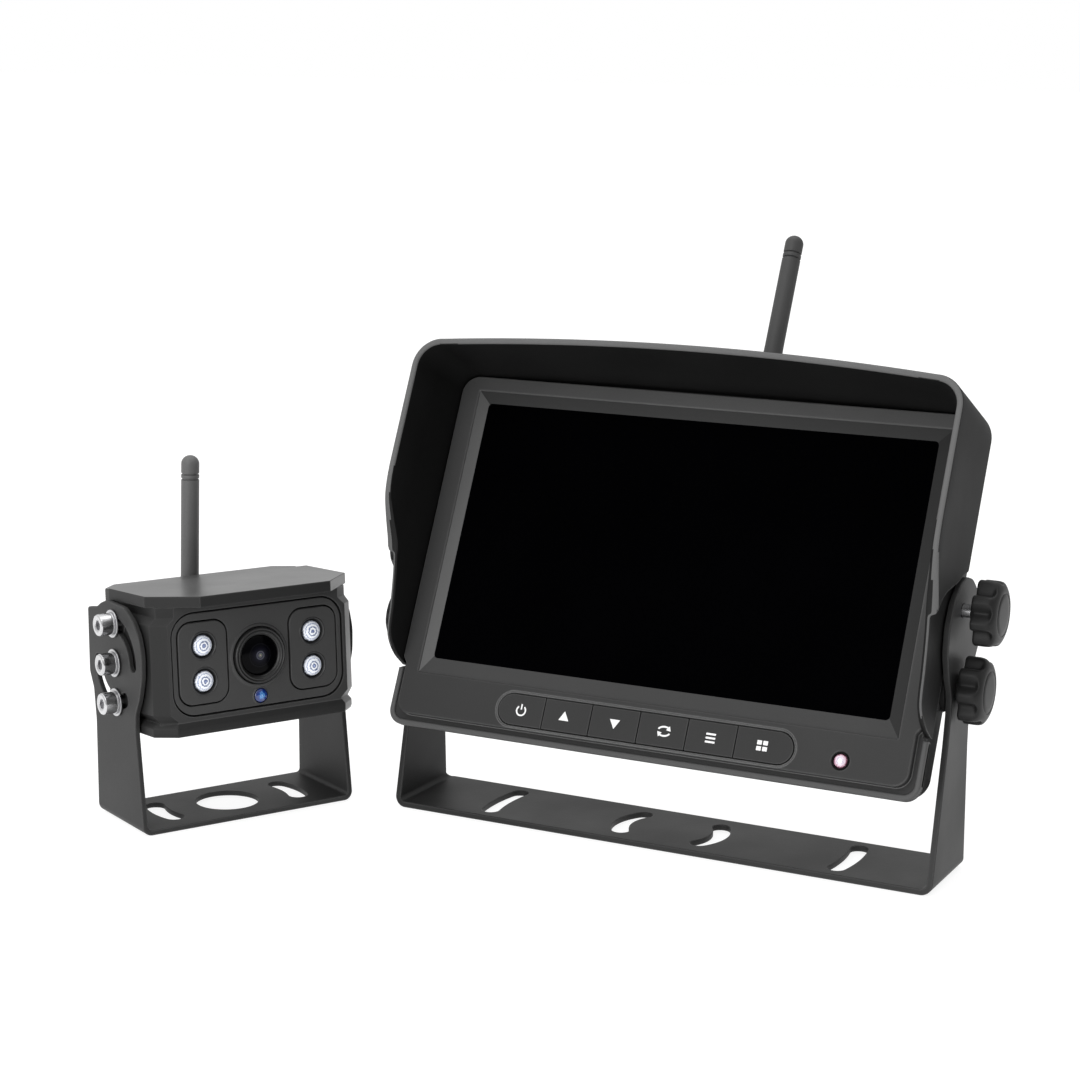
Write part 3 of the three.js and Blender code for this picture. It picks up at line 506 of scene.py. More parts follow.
def material(name, base, rough=0.5, metal=0.0, spec=0.5, grain=2600.0, bump=0.15, depth=0.00003,
             mottle=0.12, rough_mottle=0.06, edge_wear_and_highlight=0.0, edge_wear_and_highlight_colour=None, stretch=(1, 1, 1),
             painted_light_fades=(), glow=0.0):
    """Grained, slightly uneven surface. grain: noise scale; depth: bump in metres; mottle: share
    of colour variation; edge_wear_and_highlight: strength of the lighter edges, part wear and part
    painted highlight;
    painted_light_fades: painted light and shade across the part, as (axis, from metres, to metres,
    factor at from, factor at to)."""
    tree, shader = start_material(name)
    feed(tree, shader, Roughness=rough, Metallic=metal, Specular_IOR_Level=spec,
         Coat_Roughness=0.12)
    place = new_node(tree, "TexCoord")["Object"]
    mapped = new_node(tree, "Mapping", Vector=place, Scale=stretch)["Vector"]
    fine = new_node(tree, "TexNoise", Vector=mapped, Scale=grain, Detail=5, Roughness=0.6)["Fac"]
    broad = new_node(tree, "TexNoise", Vector=mapped, Scale=28, Detail=4)["Fac"]
    patches = map_range(tree, broad, 0.3, 0.7, 1 - mottle, 1 + mottle)
    specks = map_range(tree, fine, 0.3, 0.7, 1 - mottle * 0.8, 1 + mottle * 0.8)
    colour = vector_node(tree, "SCALE", base,
                         Scale=math_node(tree, "MULTIPLY", patches, specks))["Vector"]
    # painted light and shade: the colour is scaled along each listed axis
    for axis, lo, hi, factor_lo, factor_hi in painted_light_fades:
        parts = new_node(tree, "SeparateXYZ", place)
        fade = map_range(tree, parts[axis], lo, hi, factor_lo, factor_hi)
        colour = vector_node(tree, "SCALE", colour, Scale=fade)["Vector"]
    # lighter edges: part wear, part painted highlight
    if edge_wear_and_highlight > 0:
        rounded_normal = new_node(tree, "Bevel", samples=4, Radius=0.0006)["Normal"]
        normal = new_node(tree, "NewGeometry")["Normal"]
        likeness = vector_node(tree, "DOT_PRODUCT", rounded_normal, normal)["Value"]
        edge_wear_and_highlight_mask = math_node(tree, "MULTIPLY", map_range(tree, likeness, 0.99, 0.86, 0.0, edge_wear_and_highlight),
                         patches)
        edge_colour = edge_wear_and_highlight_colour or tuple(min(1, c * 2.4 + 0.02) for c in base)
        colour = new_node(tree, "Mix", data_type="RGBA", B=(*edge_colour, 1), Factor=edge_wear_and_highlight_mask,
                          A=colour)["Result"]
    feed(tree, shader, Base_Color=colour,
         Roughness=map_range(tree, broad, 0.3, 0.7, max(0.02, rough - rough_mottle),
                             min(1, rough + rough_mottle)))
    if bump > 0:
        cells = new_node(tree, "TexVoronoi", Vector=mapped, feature="SMOOTH_F1",
                         Scale=grain * 0.45)["Distance"]
        height = math_node(tree, "ADD", fine, math_node(tree, "MULTIPLY", cells, 0.7))
        feed(tree, shader, Normal=new_node(tree, "Bump", Strength=bump, Distance=depth,
                                           Height=height)["Normal"])
    if glow:
        feed(tree, shader, Emission_Color=(1, 1, 1, 1), Emission_Strength=glow)


def ring_material(name, to, x, z, stops, rough, wobble, glow=0.0, spec=0.5, coat=0.0):
    """Rings of colour about the line along local Y through (x, z): painted reflections and glints.
    stops: (radius in mm, colour), the last at the rim; wobble: how far the rings stray, mm; glow:
    strength of a painted glow in the ring colours."""
    tree, shader = start_material(name)
    centre = to @ Vector((x, 0, z))
    axis = (to.to_3x3() @ Vector((0, 1, 0))).normalized()
    reach = stops[-1][0]
    place = new_node(tree, "TexCoord")["Object"]
    offset = vector_node(tree, "SUBTRACT", place, centre)["Vector"]
    across = vector_node(tree, "CROSS_PRODUCT", offset, axis)["Vector"]
    radius = vector_node(tree, "LENGTH", across)["Value"]
    noise = new_node(tree, "TexNoise", Vector=place, Scale=1100, Detail=2, Distortion=1.5)["Fac"]
    radius = math_node(tree, "MULTIPLY_ADD", math_node(tree, "SUBTRACT", noise, 0.5),
                       wobble * 0.001, radius)
    ramp = tree.nodes.new("ShaderNodeValToRGB")
    marks = ramp.color_ramp.elements
    marks[0].position = 0
    marks[0].color = (*stops[0][1], 1)
    marks[1].position = 1
    marks[1].color = (*stops[-1][1], 1)
    for stop, colour in stops[1:-1]:
        marks.new(stop / reach).color = (*colour, 1)
    feed(tree, ramp, Fac=map_range(tree, radius, 0, reach * 0.001, 0.0, 1.0))
    feed(tree, shader, Base_Color=ramp.outputs["Color"], Specular_IOR_Level=spec,
         Roughness=map_range(tree, noise, 0.0, 1.0, rough * 0.7, rough * 1.4),
         Coat_Weight=coat, Coat_Roughness=0.03)
    if glow:
        feed(tree, shader, Emission_Color=ramp.outputs["Color"], Emission_Strength=glow)


def grey(level):
    """Linear grey from an sRGB level, 0 to 255."""
    share = level / 255.0
    return (share / 12.92 if share <= 0.04045 else ((share + 0.055) / 1.055) ** 2.4,) * 3


left_x, right_x = (TO_DISPLAY @ Vector((-88, 0, 0))).x, (TO_DISPLAY @ Vector((88, 0, 0))).x
low_z, mid_z, high_z = ((TO_DISPLAY @ Vector((0, 0, z))).z for z in (-57, 0, 50))
# painted light and shade on the bezel: a little lighter to the right, darker towards the chin,
# lighter towards the top
BEZEL_PAINTED_LIGHT_FADES = ((0, left_x, right_x, 0.95, 1.1), (2, low_z, mid_z, 0.64, 0.95),
               (2, mid_z, high_z, 1.0, 1.36))
COAT = dict(rough=0.52, grain=1500, bump=0.35, depth=0.00006, mottle=0.10, edge_wear_and_highlight=0.55,
            edge_wear_and_highlight_colour=grey(120), spec=0.26)
BEZEL = dict(rough=0.62, grain=3200, bump=0.22, mottle=0.08)
LIP = dict(rough=0.55, bump=0.2, mottle=0.08, spec=0.25)
AERIAL = dict(grain=2200, bump=0.30, depth=0.00004, mottle=0.10)
METAL = dict(depth=0.00002, rough_mottle=0.10)
CASTING = dict(grain=2000, bump=0.22, mottle=0.09)
BLACK = dict(grain=2600, bump=0.12, depth=0.00002)

# painted shade: the display bracket is darker towards the left
material("powder_coat", grey(46), painted_light_fades=((0, left_x, right_x, 0.44, 1.0),), **COAT)
material("powder_coat_camera", grey(45), **COAT)
material("bezel_plastic", grey(66), edge_wear_and_highlight=0.55, edge_wear_and_highlight_colour=grey(150), spec=0.12,
         painted_light_fades=BEZEL_PAINTED_LIGHT_FADES, **BEZEL)
# the four sides of the slope round the screen, each in its own painted shading: lightest on the
# left, then the bottom and the top, darkest on the right
SLOPE_LIGHT_AND_SHADE = ("bezel_slope_left_painted_shading", "bezel_slope_top_painted_shading", "bezel_slope_right_painted_shading", "bezel_slope_bottom_painted_shading")
for name, level, spec in zip(SLOPE_LIGHT_AND_SHADE, (88, 54, 44, 60), (0.15, 0.1, 0.1, 0.15)):
    material(name, grey(level), spec=spec, **BEZEL)
material("rear_plastic", grey(54), rough=0.66, grain=2400, bump=0.35, depth=0.00005, mottle=0.10,
         edge_wear_and_highlight=0.25, spec=0.35)
material("hood_plastic", grey(33), rough=0.60, grain=2800, bump=0.20, mottle=0.08, edge_wear_and_highlight=0.7,
         edge_wear_and_highlight_colour=grey(120), spec=0.10)
# lighter copy of the sunshade plastic: painted light on its front lip
material("hood_front_lip_painted_light", grey(92), grain=2800, **LIP)
# lighter copy of the bezel plastic: painted light on the chin lip
material("bezel_lip", grey(78), grain=3200, **LIP)
# darker copy of the sunshade plastic: painted shade inside the sunshade
material("hood_inside", grey(18), rough=0.55, grain=2400, bump=0.25, depth=0.00004, spec=0.2)
material("key_plastic", grey(52), rough=0.62, grain=3000, bump=0.20, mottle=0.08, edge_wear_and_highlight=0.3,
         edge_wear_and_highlight_colour=grey(120), spec=0.12)
material("seam_shadow", grey(16), rough=0.8, grain=2000, bump=0.1, mottle=0.1, spec=0.1)
material("icon_print", grey(236), rough=0.55, grain=4000, bump=0.1, mottle=0.04, spec=0.3)
material("knob_plastic", grey(31), rough=0.45, grain=1800, bump=0.18, depth=0.00004,
         rough_mottle=0.08, edge_wear_and_highlight=0.3, edge_wear_and_highlight_colour=grey(90), spec=0.20)
material("aerial_rubber", grey(58), rough=0.58, spec=0.4, **AERIAL)
# lighter copy of the aerial rubber: painted light on the camera's aerial
material("aerial_rubber_camera", grey(84), **AERIAL)
material("knuckle_plastic", grey(46), bump=0.2, mottle=0.1, edge_wear_and_highlight=0.2)
material("stainless", (0.62, 0.62, 0.63), rough=0.24, metal=1.0, grain=1600, bump=0.12,
         mottle=0.10, stretch=(1, 1, 6), **METAL)
material("washer_steel", (0.52, 0.52, 0.53), rough=0.32, metal=1.0, grain=1900, **METAL)
material("zinc_screw", (0.30, 0.30, 0.31), rough=0.35, metal=0.9, grain=1700, **METAL)
material("washer_rubber", grey(30), rough=0.85, grain=2200, bump=0.3, depth=0.00004, spec=0.2)
material("camera_casting", grey(58), rough=0.34, edge_wear_and_highlight=0.35, spec=0.85, **CASTING)
# darker copies of the casting finish: painted shade on the faces turned away from the light
material("camera_casting_side_painted_shade", grey(34), edge_wear_and_highlight=0.5, edge_wear_and_highlight_colour=grey(80), spec=0.22, **CASTING)
material("camera_casting_front_painted_shade", grey(50), edge_wear_and_highlight=0.5, edge_wear_and_highlight_colour=grey(100), spec=0.35, **CASTING)
material("camera_face", grey(57), rough=0.55, grain=3000, bump=0.2, mottle=0.08, edge_wear_and_highlight=0.3,
         spec=0.4)
material("lamp_cup", grey(40), rough=0.45, **BLACK)
material("lens_black", grey(34), rough=0.38, metal=0.2, edge_wear_and_highlight=0.3, **BLACK)
material("gland_plastic", grey(38), rough=0.6, grain=2400, bump=0.25, mottle=0.1, edge_wear_and_highlight=0.2)
material("nickel", (0.55, 0.54, 0.5), rough=0.3, metal=1.0, grain=1800, bump=0.1, depth=0.00002,
         mottle=0.1)
material("screen_glass_black", (0.0006, 0.0006, 0.0008), grain=900, bump=0.02, depth=0.00001,
         mottle=0.2, rough_mottle=0.03, spec=0.0)

# ---------------------------------------------------------------------------------------
# Display bracket and lock studs
# ---------------------------------------------------------------------------------------
# ear outline from the front foot over the top to the rear foot, (y, z)
DISPLAY_EAR = [
    (-17.4, 0), (-7.8, 44), (-6.3, 53.6), (-6.8, 60), (-10.0, 65.6), (-12.5, 73.4), (-11.5, 81.8),
    (-7.8, 88.4), (-1.6, 92.9), (4.2, 94.0), (10.2, 92.2), (15.8, 87.6), (20.0, 81.6),
    (21.0, 75.6), (19.2, 70.6), (14.8, 64.8), (12.6, 54), (12.6, 40), (15.0, 0)]
DISPLAY_EAR_RADII = [0, 12, 10, 8, 8, 9, 9, 9, 9, 9, 9, 9, 8, 7, 8, 9, 12, 12, 0]
# base slots: radius, half angle, middle angle
BASE_SLOTS = ((61, 10.1, 0), (61, 10.1, 180), (16.4, 34, 0), (16.4, 34, 180))
bracket = sheet(
    half=92.6, thick=2.0, bend=3.6, ear=rounded(DISPLAY_EAR, DISPLAY_EAR_RADII, 14), depth=34.8,
    base_holes=[arc_slot(0, 0, radius, 5.6, mid - half, mid + half)
                for radius, half, mid in BASE_SLOTS],
    ear_holes=[circle(pivot.y, pivot.z, 3.3, 36), circle(lock.y, lock.z, 2.18, 32)], bevel=0.38)
on_row(bracket, "display_bracket_sheet", "powder_coat", "display_base", "bracket_steel",
       "monitor_bracket")


def along(sign, profile):
    return [(radius, sign * distance) for radius, distance in profile]


# thread start and tip of each stud
for (side, sign), (x, tip) in zip(SIDES, ((96.2, 101.9), (92.9, 97.8))):
    profile = [(0, 84.0), (2.8, 84.0), (3.0, 84.2), (3.0, 86.2), (2.8, 86.4), (2.1, 86.4),
               (2.1, x)]
    # plain shank through the ear, rolled thread inside the knob
    while x < tip - 0.9:
        profile += [(2.1, x + 0.1), (1.84, x + 0.4), (2.1, x + 0.7)]
        x += 0.7
    profile += [(1.8, tip - 0.05), (0, tip)]
    on_row(lathe(along(sign, profile), 40, "X", (0, lock.y, lock.z)), "lock_stud_turned_" + side,
           "stainless", "display_base", "stainless", "lock_stud_" + side, angle=50)

# ---------------------------------------------------------------------------------------
# Display front
# ---------------------------------------------------------------------------------------
FACE_Y = -1.07                 # front face of the bezel
KEY_Z = -56.6                  # middle line of the keys
IR_X, IR_Z = 65.1, -57.7       # infrared window
WINDOW_X, WINDOW_Z = 77.5, 43.575    # half size of the window where the slope meets the glass


def lock_track(width, before=32.5, after=3.9):
    return arc_slot(TILT_Y, TILT_Z, TRACK_RADIUS, width,
                    90 + TRACK_ANGLE - before, 90 + TRACK_ANGLE + after)


def track_cutters():
    return [prism("X", lock_track(width), *span(sign, near, far))
            for width, near, far in ((5.0, 83.2, 96), (6.6, 83.7, 86.8)) for sign in (1, -1)]


def key_row(radius):
    """Outline with round ends about the row of keys."""
    return (arc(45, KEY_Z, radius, -pi / 2, pi / 2, 18)
            + arc(-45, KEY_Z, radius, pi / 2, 3 * pi / 2, 18))


face_outline = rounded(symmetric([(-88, 52.4), (-88, -44.6), (-86.6, -46.4), (-86.6, -62.9)]),
                       [6, 1, 1, 4.6, 4.6, 1, 1, 6], 12)
slab_outline = rounded(symmetric([(-88, 52.4), (-88, -47.0), (-90, -47.8), (-90, -66.4)]),
                       [6, 0.6, 0.9, 5, 5, 0.9, 0.6, 6], 10)
openings = [round_rect(-81.4, 81.4, -48.775, 47.475, 0.25, 3), key_row(5.16),
            circle(IR_X, IR_Z, 2.75, 32)]
face = plate("Y", face_outline, FACE_Y, 2.4, bevel=0.50, holes=openings, res=4)
slab = plate("Y", slab_outline, 1.75, 4.0, bevel=0.30, holes=openings)
slab = boolean(slab, *track_cutters())
face = boolean(face, *track_cutters())
chin = rounded([(-90, -47.9), (-90, -66.4), (90, -66.4), (90, -47.9), (88.2, -47.9),
                (88.2, -64.6), (-88.2, -64.6), (-88.2, -47.9)], [0, 5, 5, 0, 0, 3.2, 3.2, 0], 12)
# the chin lip takes the lighter painted-light copy of the bezel plastic
on_display(plate("Y", chin, 0.95, 3.95, bevel=0.62, res=4), "bezel_chin_lip", "bezel_lip",
           "bezel_plastic")
rim_outline = key_row(5.95)
rim = plate("Y", rim_outline, FACE_Y - 0.10, FACE_Y + 0.2, bevel=0.09,
            holes=[inner_outline(rim_outline, 0.42)])
on_display(join(face, slab, rim), "bezel_moulding", "bezel_plastic", "bezel_plastic",
           "front_bezel")


def window_slope():
    """Slope from the face down to the glass; the corner points share one outer corner."""
    radius, steps = 1.4, 6
    inner, outer = [], []
    for quarter, (right, top) in enumerate(((1, 1), (-1, 1), (-1, -1), (1, -1))):
        for i in range(steps + 1):
            turn = radians(90 * quarter + 90 * i / steps)
            inner.append((right * WINDOW_X - right * radius + radius * cos(turn),
                          top * WINDOW_Z - top * radius + radius * sin(turn)))
            outer.append((right * 81.45, 47.525 if top > 0 else -48.825))
    bm = bmesh.new()
    front, glass, back = ([bm.verts.new((x, y, z)) for x, z in outline] for outline, y in
                          ((outer, FACE_Y + 0.5), (inner, 0.0), (inner, 1.2)))
    for i in range(len(inner)):
        j = (i + 1) % len(inner)
        if (front[i].co - front[j].co).length < 1e-6:
            bm.faces.new((front[i], glass[j], glass[i]))
        else:
            bm.faces.new((front[i], front[j], glass[j], glass[i]))
        bm.faces.new((glass[i], glass[j], back[j], back[i]))
    return bm


slope = on_display(window_slope(), "bezel_window_slope", SLOPE_LIGHT_AND_SHADE, "bezel_plastic", merge=1e-5,
                   angle=12)
# each side of the slope takes its own painted shading
for polygon, centre, _ in local_faces(slope, TO_DISPLAY):
    if abs(centre.x) - WINDOW_X > abs(centre.z) - 43.6:
        polygon.material_index = 2 if centre.x > 0 else 0
    else:
        polygon.material_index = 1 if centre.z > 0 else 3

well = join(plate("Y", key_row(5.5), 0.9, 1.6, bevel=0.1),
            plate("Y", circle(IR_X, IR_Z, 2.9, 28), 0.6, 1.4, bevel=0.1))
on_display(well, "bezel_key_well", "seam_shadow", "bezel_plastic")
on_display(plate("Y", round_rect(-79.9, 79.9, -46.1, 46.1, 1.2), 0.02, 1.15, bevel=0.1),
           "screen_pane", "screen_glass_black", "screen", "screen_glass")

# keys with printed pictograms
KEYS = ("power", "up", "down", "source", "menu", "view")
KEY_EDGES = [-50.1, -34.0, -17.7, -1.2, 15.05, 31.3, 50.1]    # x of the row's ends and gaps
ICON_X = [-41.9, -26.7, -9.3, 7.6, 23.1, 40.0]
KEY_FRONT = -1.22
KEY_TOP, KEY_BOTTOM, KEY_END = -51.64, -61.56, 4.96           # KEY_END: radius of the row's ends


def pictogram(kind, x, y):
    """Outlines of one pictogram about (x, y)."""
    if kind == "power":
        return [strip(arc(x, y - 0.1, 1.55, radians(128), radians(412), 20), 0.5),
                rect(x - 0.24, x + 0.24, y + 0.25, y + 2.0)]
    if kind == "up":
        return [[(x - 1.75, y - 1.3), (x + 1.75, y - 1.3), (x, y + 1.7)]]
    if kind == "down":
        return [[(x - 1.75, y + 1.4), (x, y - 1.6), (x + 1.75, y + 1.4)]]
    if kind == "menu":
        return [round_rect(x - 1.6, x + 1.6, y + k * 1.22 - 0.3, y + k * 1.22 + 0.3, 0.12, 3)
                for k in (-1, 0, 1)]
    if kind == "view":
        return [round_rect(x + i * 0.98 - 0.76, x + i * 0.98 + 0.76,
                           y + j * 0.92 - 0.66, y + j * 0.92 + 0.66, 0.12, 3)
                for i in (-1, 1) for j in (-1, 1)]
    shapes = []    # source: two bent arrows
    for sign in (1, -1):
        turns = [radians(168 - 118 * i / 14) for i in range(15)]
        path = [(x + sign * 1.95 * cos(turn), y + sign * 0.28 + sign * 1.15 * sin(turn))
                for turn in turns]
        tip_x, tip_y = path[-1]
        shapes.append(strip(path, 0.55))
        shapes.append([(tip_x - sign * 0.62, tip_y - sign * 0.72),
                       (tip_x + sign * 0.95, tip_y - sign * 0.98),
                       (tip_x + sign * 0.42, tip_y + sign * 0.66)])
    return shapes


for i, kind in enumerate(KEYS):
    left = KEY_EDGES[i] + (0.13 if i else 0.12)
    right = KEY_EDGES[i + 1] - (0.13 if i < 5 else 0.12)
    if i == 0:
        outline = [(right, KEY_BOTTOM), (right, KEY_TOP)]
        outline += arc(left + KEY_END, KEY_Z, KEY_END, pi / 2, 3 * pi / 2, 18)
    elif i == 5:
        outline = [(left, KEY_TOP), (left, KEY_BOTTOM)]
        outline += arc(right - KEY_END, KEY_Z, KEY_END, -pi / 2, pi / 2, 18)
    else:
        outline = round_rect(left, right, KEY_BOTTOM, KEY_TOP, 0.3, 3)
    on_display(plate("Y", outline, KEY_FRONT, 3.3, bevel=0.22), "key_cap_" + kind, "key_plastic",
               "key_plastic", "button_" + kind, body="key_" + kind)
    prints = [plate("Y", shape, KEY_FRONT - 0.05, KEY_FRONT + 0.05, bevel=0.012, res=0)
              for shape in pictogram(kind, ICON_X[i], KEY_Z - 0.05)]
    on_display(join(*prints), "key_pictogram_" + kind, "icon_print", "key_plastic",
               body="key_" + kind, merge=0)

# infrared window: small clear dome in a dark seat; the rings on the dome are painted reflections
# with a faint painted glow
ring_material("ir_lens", TO_DISPLAY, IR_X, IR_Z, [
    (0, (0.75, 0.72, 0.82)), (0.5, (0.9, 0.86, 0.92)), (0.95, (0.42, 0.36, 0.45)),
    (1.35, (0.72, 0.62, 0.70)), (1.75, (0.45, 0.25, 0.33)), (2.1, (0.16, 0.05, 0.08)),
    (2.4, (0.05, 0.02, 0.03))], rough=0.08, wobble=1.5, glow=0.15, coat=1.0)
IR_DOME = [(0, 3.4), (2.2, 3.4), (2.2, -0.55), (2.05, -0.9), (1.7, -1.2), (1.2, -1.38),
           (0.6, -1.47), (0, -1.5)]
IR_SEAT = [(2.25, -0.4), (2.25, -1.05), (2.4, -1.2), (2.6, -1.2), (2.74, -1.05), (2.74, -0.4)]
on_display(lathe_y(IR_DOME, 40, IR_X, IR_Z), "ir_dome", "ir_lens", "ir_plastic", "ir_window",
           angle=45)
on_display(lathe_y(IR_SEAT, 40, IR_X, IR_Z, close=True), "ir_seat_ring", "seam_shadow",
           "bezel_plastic")

# ---------------------------------------------------------------------------------------
# Sunshade
# ---------------------------------------------------------------------------------------
HOOD_BACK, HOOD_FRONT = 4.2, -30.3                      # y
HOOD_SIDE, HOOD_TOP, HOOD_RADIUS = 92.2, 55.4, 9.5      # outer half width, top, corner
SIDE_WALL, TOP_WALL, CORNER_WALL = 3.9, 2.6, 3.9        # insets of the inside at the back
# front edge of the side walls, (z, y)
FRONT_EDGE = [(12, -30.3), (6.5, -29.8), (1.5, -28.5), (-4.5, -25), (-10.4, -21), (-14.4, -19),
              (-20.9, -16.5), (-30.4, -13.9), (-38.8, -12), (-42.1, -9.1), (-45, -3.7),
              (-46.55, 2.6)]
# step on the outside of the side walls, thinner behind it, (z, y)
STEP_EDGE = [(-14.4, -19.2), (-10.7, -17.7), (-6.9, -14.6), (-4.1, -10.6), (-1.9, -6.5),
             (0.2, -3.0), (2.9, 0.2), (5.6, 5.5)]


def smooth_value(table, place):
    """Smooth curve through the (place, value) pairs, flat beyond the ends."""
    pairs = sorted(table)
    if place <= pairs[0][0]:
        return pairs[0][1]
    if place >= pairs[-1][0]:
        return pairs[-1][1]

    def slope_at(k):
        before, after = pairs[max(0, k - 1)], pairs[min(len(pairs) - 1, k + 1)]
        return (after[1] - before[1]) / (after[0] - before[0])

    for i, ((start, value), (end, next_value)) in enumerate(zip(pairs, pairs[1:])):
        if start <= place <= end:
            gap = end - start
            t = (place - start) / gap
            return ((2 * t ** 3 - 3 * t * t + 1) * value
                    + (t ** 3 - 2 * t * t + t) * (slope_at(i) * gap)
                    + (-2 * t ** 3 + 3 * t * t) * next_value
                    + (t ** 3 - t * t) * (slope_at(i + 1) * gap))


def hood_point(kind, place, y, inset):
    """(x, z) on the right; place is a height, a corner angle or a share of the half top;
    inset is (side, top, corner radius)."""
    depth = (HOOD_BACK - y) / (HOOD_BACK - HOOD_FRONT)
    side, top, radius = HOOD_SIDE - inset[0], HOOD_TOP - inset[1], HOOD_RADIUS - inset[2]
    if kind == "side":
        return side, place
    if kind == "corner":
        return side - radius + radius * cos(place), top - radius + radius * sin(place)
    return place * (side - radius), top + (0.6 + 3.0 * depth) * (1 - place * place)


def inside_inset(y):
    if y < -20:
        t = (y - HOOD_FRONT) / (-20 - HOOD_FRONT)
        return [2.0 + 1.7 * t, 2.0 + 0.2 * t, 2.0 + 0.8 * t]
    t = (y + 20) / (HOOD_BACK + 20)
    return [3.7 + 0.2 * t, 2.2 + 0.4 * t, 2.8 + 1.1 * t]


def hood_section(kind, place, sign):
    """Points round the wall: inside from back to front, lip, outside from front to back."""
    front_y, step_y, wing, proud = HOOD_FRONT, HOOD_BACK, 0.0, 1.0
    if kind == "side":
        front_y, step_y = smooth_value(FRONT_EDGE, place), smooth_value(STEP_EDGE, place)
        wing = smooth((6.2 - place) / 0.6)      # the step lies below this height
        proud = smooth(place + 14.9)            # full width in front of the step above this
    points = []

    def put(y, inset):
        x, z = hood_point(kind, place, y, inset)
        points.append((sign * x, y, z))

    def outside_inset(y):
        behind = smooth((y - step_y + 0.55) / 1.1)
        return [2.2 * wing * (1 - proud * (1 - behind)), 0, 0]

    edge_y = front_y + 0.55
    for i in range(11):
        y = HOOD_BACK - (HOOD_BACK - edge_y) * i / 10
        put(y, inside_inset(y))
    inner, outer = inside_inset(front_y), outside_inset(front_y)
    for share, back in ((0.10, 0.22), (0.28, 0.05), (0.5, 0.0), (0.72, 0.05), (0.90, 0.22)):
        put(front_y + back, [a + (b - a) * share for a, b in zip(inner, outer)])
    step_start = max(edge_y, min(HOOD_BACK, step_y - 0.75))
    step_end = max(edge_y, min(HOOD_BACK, step_y + 0.75))
    for y in ([edge_y + (step_start - edge_y) * i / 8 for i in range(9)]
              + [step_start + (step_end - step_start) * i / 7 for i in range(1, 8)]
              + [step_end + (HOOD_BACK - step_end) * i / 6 for i in range(1, 7)]):
        put(y, outside_inset(y))
    return points


def hood():
    sides = []
    z = -46.6
    while z < 12.0:
        sides.append(("side", z))
        z += 0.62
    sides += [("side", z) for z in (12.0, 16, 20, 25, 30, 35, 40, 43.5)]
    right = sides + [("corner", radians(90 * i / 12)) for i in range(13)]
    top = [("top", 1 - i / 15.0) for i in range(1, 30)]
    columns = [(*column, 1) for column in right + top] + [(*column, -1) for column in right[::-1]]
    bm = bmesh.new()
    chains = [[bm.verts.new(point) for point in hood_section(*column)] for column in columns]
    last = len(chains[0]) - 1
    for chain, other in zip(chains, chains[1:]):
        for k in range(last):
            bm.faces.new((chain[k], chain[k + 1], other[k + 1], other[k]))
        bm.faces.new((chain[last], chain[0], other[0], other[last]))
    bm.faces.new(chains[0])
    bm.faces.new(chains[-1][::-1])
    weld(bm, 0.004)
    recalc(bm)
    return bm


shell = boolean(hood(), *[prism("X", lock_track(5.0), *span(sign, 80, 96)) for sign in (1, -1)])
shell = on_display(shell, "sunshade_shell", ("hood_plastic", "hood_inside", "hood_front_lip_painted_light"),
                   "hood_plastic", "sunshade_hood", angle=38)
# painted shade on the inward faces, painted light on the front-facing lip faces
for polygon, centre, normal in local_faces(shell, TO_DISPLAY):
    faces_middle = normal.x * (1 if centre.x < 0 else -1) > 0.0003 and abs(centre.x) > 80
    inward = faces_middle or (normal.z < -0.0003 and centre.z > 40)
    if inward and centre.y > -29.9 and abs(centre.x) < 90.4:
        polygon.material_index = 1
    elif normal.y < -0.55:
        polygon.material_index = 2

# seat rib: closes the slit between the sunshade's inner wall and the edge of the bezel, in the
# painted shade of the sunshade's inside
rib_radius = HOOD_RADIUS - CORNER_WALL
rib_side, rib_top = HOOD_SIDE - SIDE_WALL, HOOD_TOP - TOP_WALL
rib_flat = rib_side - rib_radius
rib_right = [(rib_side + 0.2, 12.0)]
rib_right += arc(rib_flat, rib_top - rib_radius, rib_radius + 0.2, 0, pi / 2, 12)
shares = [1 - i / 12.0 for i in range(1, 24)]
rib_outer = rib_right + [(t * rib_flat, rib_top + 0.2 + 0.6 * (1 - t ** 2)) for t in shares]
rib_outer += mirrored(rib_right)
rib_inner = symmetric([(87.7, 12.0)] + arc(82.0, 46.4, 5.7, 0, pi / 2, 12))
on_display(prism("Y", rib_outer + rib_inner[::-1], 2.4, 3.9), "sunshade_seat_rib", "hood_inside",
           "hood_plastic", angle=40)

for side, sign in SIDES:
    on_display(plate("X", lock_track(7.2), *span(sign, 82.2, 83.5), bevel=0.1),
               "lock_track_floor_" + side, "seam_shadow", "rear_plastic")

# ---------------------------------------------------------------------------------------
# Rear cover
# ---------------------------------------------------------------------------------------
SCREWS = [(x, z) for z in (-53, 40) for x in (-74, 74)]
INLET_X, INLET_Z = -40, -50
vents = [round_rect(-42 + i * 10.5 - 1.5, -42 + i * 10.5 + 1.5, 28, 44, 1.4, 5) for i in range(9)]
wells = [circle(x, z, 3.3, 28) for x, z in SCREWS]
rear = [plate("Y", round_rect(-88, 88, -65.2, 52.2, 6, 12), 4.02, 7.0, bevel=0.5),
        plate("Y", round_rect(-86, 86, -63, 50, 7, 12), 6.0, 26.0, bevel=2.6, res=5,
              holes=vents + wells + [circle(INLET_X, INLET_Z, 4.3, 32)])]
for sign in (1, -1):
    rear.append(plate("X", circle(TILT_Y, TILT_Z, 7.8, 48), *span(sign, 80, 88.6), bevel=0.4))
    guide = plate("X", lock_track(12.0, 36, 3), *span(sign, 84.3, 88.0), bevel=0.3)
    rear.append(boolean(guide, *track_cutters(), prism("Y", rect(-100, 100, -60, 30), -20, 4.02)))
rear.append(plate("Y", round_rect(-62, 62, -40, 20, 4), 25.6, 26.6, bevel=0.4,
                  holes=[round_rect(-60.6, 60.6, -38.6, 18.6, 3)]))
